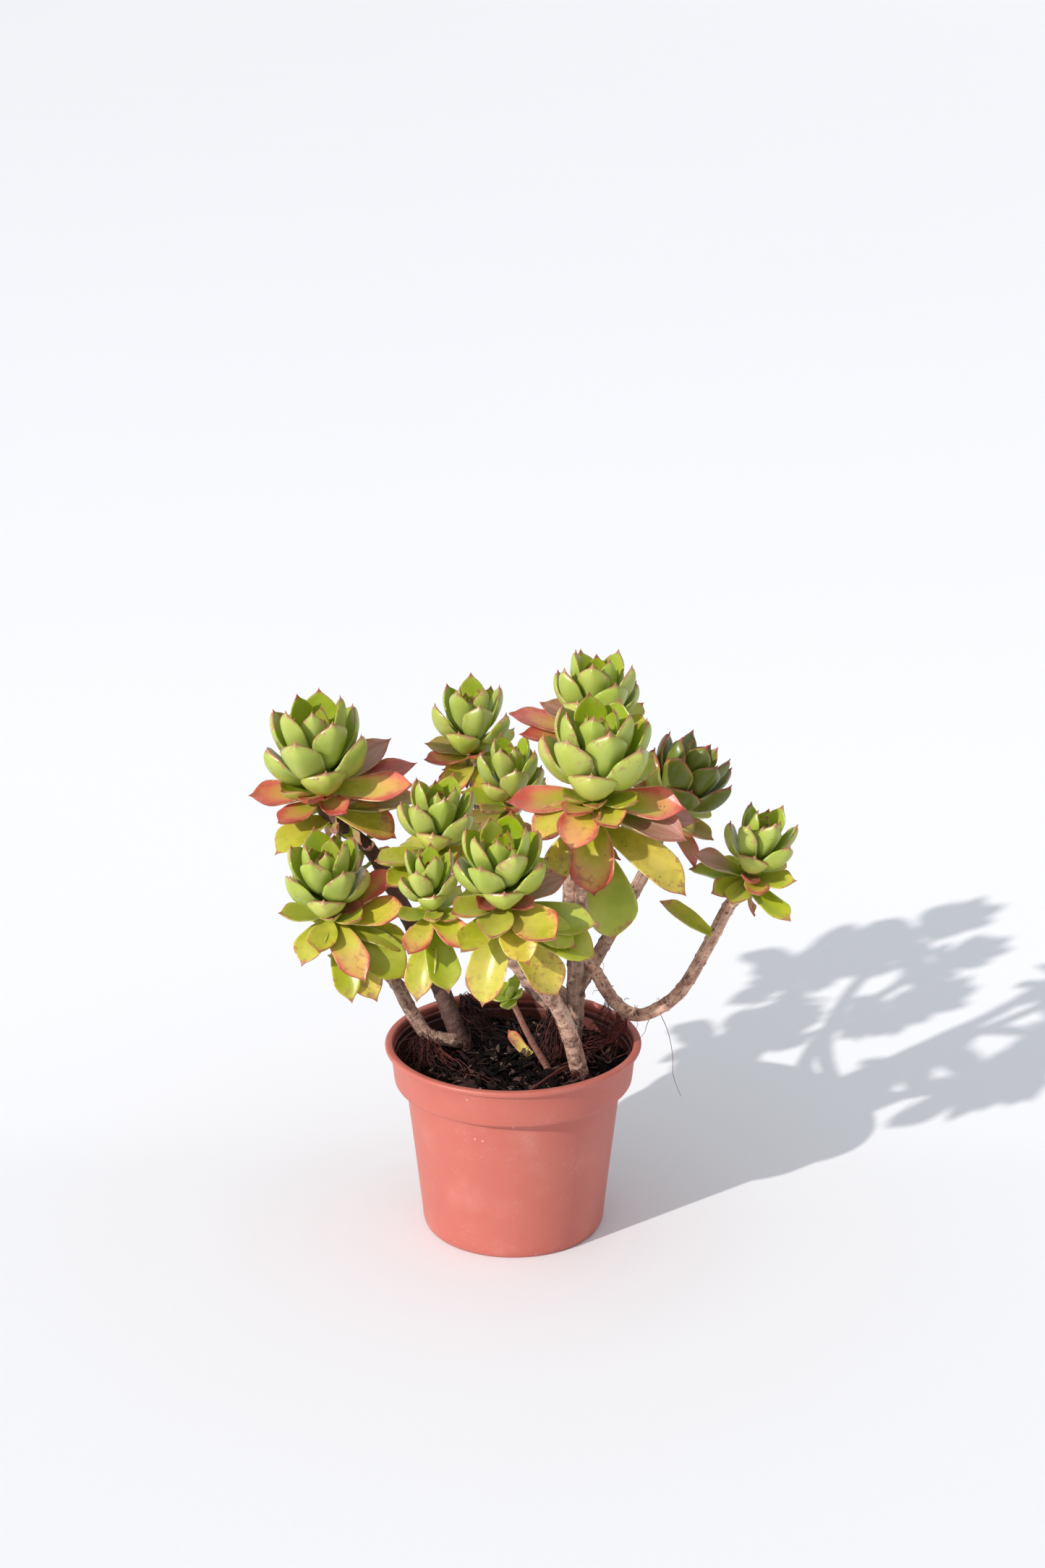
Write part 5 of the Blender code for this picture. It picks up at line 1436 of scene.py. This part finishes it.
def bark_paint():
    """Woody skin: grey brown with tan flakes, dark creases, green towards the leaves, and painted
    shade on the stems under the leaves.
    """
    paint = Paint("woody_bark")
    t, cosine, sine = paint.parts(paint.attribute("place"))
    ruddy, leafy, painted_shade = paint.parts(paint.attribute("tone"))
    patch = paint.noise(220.0, 3.0)
    flakes = paint.noise(420.0, 4.0, distortion=0.6)
    rings = paint.noise(1.0, 3.0, spot=paint.pack(t * 70.0, cosine, sine))
    fine = paint.noise(2600.0, 3.0)
    plain = paint.mix(patch.step(0.33, 0.64), (0.19, 0.10, 0.07), (0.58, 0.37, 0.27))
    warm = paint.mix(patch.step(0.35, 0.62), (0.34, 0.155, 0.105), (0.72, 0.42, 0.29))
    paint.colour = paint.mix(paint.math("MINIMUM", ruddy, 1.0), plain, warm)
    paint.coat(flakes.step(0.55, 0.66) * 0.6, (0.62, 0.45, 0.34))
    # Painted shade: darken the stems that stand in the leaves' shade, and show less peeling there
    paint.coat(painted_shade * 0.9, (0.075, 0.032, 0.026))
    paint.coat(rings.step(0.56, 0.66) * 0.8, (0.055, 0.025, 0.02))
    peeling = paint.noise(1.0, 4.0, spot=paint.pack(t * 9.0, cosine * 3.2, sine * 3.2))
    paint.coat(peeling.step(0.53, 0.6) * (1.0 - painted_shade) * 0.6, (0.70, 0.52, 0.42))
    grime = paint.noise(650.0, 3.0, distortion=1.0)
    paint.coat(grime.step(0.6, 0.66) * 0.7, (0.05, 0.022, 0.02))
    paint.coat((1.0 - t.step(0.0, leafy)) * 0.75, (0.30, 0.22, 0.06))
    paint.coat(ruddy.step(1.2, 1.6) * 0.8, (0.38, 0.15, 0.13))
    height = flakes * 0.8 - rings * 0.9 + fine * 0.25
    return paint.finish(0.62 + patch * 0.25, height, 0.0009, 0.8)


def root_paint():
    """Fine roots from dark brown to red."""
    paint = Paint("root_skin")
    redness = paint.parts(paint.attribute("tone"))[0]
    grain = paint.noise(900.0, 2.0)
    paint.colour = paint.mix(redness, (0.007, 0.003, 0.003), (0.17, 0.038, 0.03))
    paint.coat(grain.step(0.5, 0.75) * (redness + 0.1), (0.26, 0.11, 0.08))
    return paint.finish(0.5 + grain * 0.3, grain, 0.0002, specular=0.25)


def soil_paint():
    """Dark damp compost."""
    paint = Paint("bark_compost")
    coarse, grain = paint.noise(300.0, 3.0), paint.noise(1400.0, 3.0)
    paint.colour = paint.mix(coarse.step(0.35, 0.7), (0.003, 0.002, 0.002), (0.014, 0.008, 0.008))
    paint.coat(grain.step(0.6, 0.72), (0.045, 0.024, 0.021))
    return paint.finish(0.75 + grain * 0.25, coarse + grain, 0.0015, specular=0.1)


def chip_paint():
    """Composted bark chips, from near black to mid brown, with grain."""
    paint = Paint("bark_chip")
    shade, own, _ = paint.parts(paint.attribute("tone"))
    x, y, _ = paint.parts(paint.attribute("place"))
    seed = paint.attribute("seed", "Fac")
    grain = paint.noise(1.0, 3.0, spot=paint.pack(x * 1.2, y * 9.0, seed))
    paint.colour = paint.mix(shade.step(0.05, 0.5), (0.003, 0.0015, 0.0015), (0.034, 0.017, 0.015))
    paint.coat(shade.step(0.55, 1.0), (0.20, 0.12, 0.095))
    paint.coat(grain.step(0.5, 0.65) * 0.55, (0.008, 0.005, 0.005))
    return paint.finish(0.6 + own * 0.3, grain, 0.0006, specular=0.12)


def pot_paint():
    """Terracotta-coloured moulded plastic, dusty and lightly scuffed, with soil stains and painted
    shade inside at the top.
    """
    paint = Paint("terracotta_plastic")
    broad, patch = paint.noise(22.0, 2.0), paint.noise(90.0, 3.0)
    fine = paint.noise(1500.0, 2.0)
    cloudy = broad * 0.6 + patch * 0.5 - 0.05
    paint.colour = paint.mix(cloudy, (0.46, 0.105, 0.075), (0.55, 0.155, 0.115))
    wisp = abs(paint.noise(160.0, 4.0, distortion=1.4) - 0.5)
    dust = wisp.step(0.012, 0.0) * patch.step(0.46, 0.62)
    paint.coat(dust * 0.2, (0.78, 0.50, 0.44))
    distance, own = paint.cells(330.0)
    paint.coat((distance < 0.15) * (own < 0.05) * 0.5, (0.88, 0.78, 0.74))
    paint.coat(paint.noise(45.0, 4.0).step(0.52, 0.75) * 0.12, (0.75, 0.45, 0.38))
    x, y, z = paint.parts(paint.spot)
    # Soil stains and painted shade on the inside wall, from the soil up to just below the rim
    inner = paint.math("SQRT", x * x + y * y) - z * 0.082 < 0.0433
    stain_and_shade = inner * z.step(0.066, 0.067) * (z + patch * 0.004).step(0.0815, 0.077)
    paint.coat(stain_and_shade * (0.55 + broad * 0.6), (0.035, 0.014, 0.011))
    height = fine * 0.2 + patch * 0.5 + dust * 0.4
    return paint.finish(0.36 + patch * 0.16 + dust * 0.2, height, 0.0004, 0.35)


def floor_paint():
    """Pale matt board."""
    paint = Paint("pale_board")
    broad, grain = paint.noise(3.0, 2.0), paint.noise(700.0, 2.0)
    paint.colour = paint.mix(broad * 0.6 + grain * 0.3, (0.79, 0.79, 0.795), (0.805, 0.805, 0.81))
    return paint.finish(0.6 + grain * 0.15, grain, 0.0001, 0.3, specular=0.1)


# Stage

CAMERA_PLACE = (3.8, -986.0, 517.0)
CAMERA_PITCH = 18.29
CAMERA_LENS = 60.0
SENSOR = 36.0
SUN_HEADING = 41.0
SUN_HEIGHT = 28.0
SUN_STRENGTH = 3.3
SUN_COLOUR = (1.0, 0.965, 0.94)
SUN_SPREAD = 0.9
SKY_COLOUR = (0.91, 0.955, 1.03)
SKY_FADE = (0.0, 1.0, 0.14, 1.02)
FLOOR_HALF = 60.0
FLOOR_NEAR = 6.0
FLOOR_RIM = 11.0
SWEEP_START = 0.05
SWEEP_END = 0.5
SWEEP_FADE = 1.5
SWEEP_SLOPE = 0.1
SWEEP_STEPS = 80
SWEEP_LENGTH = 30.0


def build_stage(material):
    """A pale floor that sweeps gently up behind the pot, and far away on the other sides."""
    corners = []
    for y in [-FLOOR_HALF, -FLOOR_NEAR,
              *(SWEEP_LENGTH * np.linspace(0.0, 1.0, SWEEP_STEPS) ** 3), FLOOR_HALF]:
        ahead, beyond = max(0.0, y - SWEEP_START), max(0.0, y - SWEEP_END)
        rise = SWEEP_SLOPE * (ahead ** 2 / (ahead + SWEEP_START)
                              - beyond ** 2 / (beyond + SWEEP_FADE))
        rise += FLOOR_RIM if y < -FLOOR_NEAR else 0.0
        corners += [(-FLOOR_HALF, y, rise + FLOOR_RIM), (-FLOOR_NEAR, y, rise),
                    (FLOOR_NEAR, y, rise), (FLOOR_HALF, y, rise + FLOOR_RIM)]
    starts = [row + column for row in range(0, len(corners) - 4, 4) for column in range(3)]
    faces = [(i, i + 1, i + 5, i + 4) for i in starts]
    floor = put_in_scene("studio_floor", make_mesh("studio_floor", corners, faces, material))
    floor.data.shade_smooth()


def build_world():
    """A pale sky, dim at the horizon and brightest overhead."""
    world = bpy.data.worlds.new("surround")
    world.use_nodes = True
    tree = world.node_tree
    sky = tree.nodes["Background"]
    sky.inputs["Color"].default_value = (*SKY_COLOUR, 1.0)
    where, height, fade = (tree.nodes.new("ShaderNode" + kind)
                           for kind in ("TexCoord", "SeparateXYZ", "MapRange"))
    for socket, value in zip(("From Min", "From Max", "To Min", "To Max"), SKY_FADE):
        fade.inputs[socket].default_value = value
    tree.links.new(where.outputs["Generated"], height.inputs["Vector"])
    tree.links.new(height.outputs["Z"], fade.inputs["Value"])
    tree.links.new(fade.outputs["Result"], sky.inputs["Strength"])
    bpy.context.scene.world = world


def build_light():
    """The sun from the front left, in the direction that the photograph's shadow tells."""
    lamp = bpy.data.lights.new("key", "SUN")
    lamp.energy = SUN_STRENGTH
    lamp.color = SUN_COLOUR
    lamp.angle = math.radians(SUN_SPREAD)
    heading, height = math.radians(SUN_HEADING), math.radians(SUN_HEIGHT)
    travel = Vector((math.cos(heading) * math.cos(height), math.sin(heading) * math.cos(height),
                     -math.sin(height)))
    put_in_scene("key", lamp).rotation_euler = travel.to_track_quat("-Z", "Y").to_euler()
    bpy.context.scene.view_settings.view_transform = "Standard"


def build_camera():
    """The camera at the photograph's place."""
    data = bpy.data.cameras.new("camera")
    data.lens, data.sensor_width, data.clip_start = CAMERA_LENS, SENSOR, 0.01
    camera = put_in_scene("camera", data)
    camera.location = Vector(CAMERA_PLACE) * MM
    camera.rotation_euler = (math.radians(90.0 - CAMERA_PITCH), 0.0, 0.0)
    bpy.context.scene.camera = camera


def main():
    """Build every piece in the order of the random draws, then the stage."""
    curves = all_curves()
    heads, skirts, shoot, remnants = place_leaves(curves)
    leaf, bark = leaf_paint(), bark_paint()
    build_heads(heads, leaf)
    build_skirts(skirts, leaf)
    build_stems(curves, bark)
    build_offshoot(shoot, bark, leaf)
    build_single_leaves(leaf)
    build_remnants(remnants, leaf)
    build_roots(curves, root_paint())
    build_soil(soil_paint())
    build_chips(chip_paint())
    build_pot(pot_paint())
    build_stage(floor_paint())
    build_light()
    build_world()
    build_camera()


main()
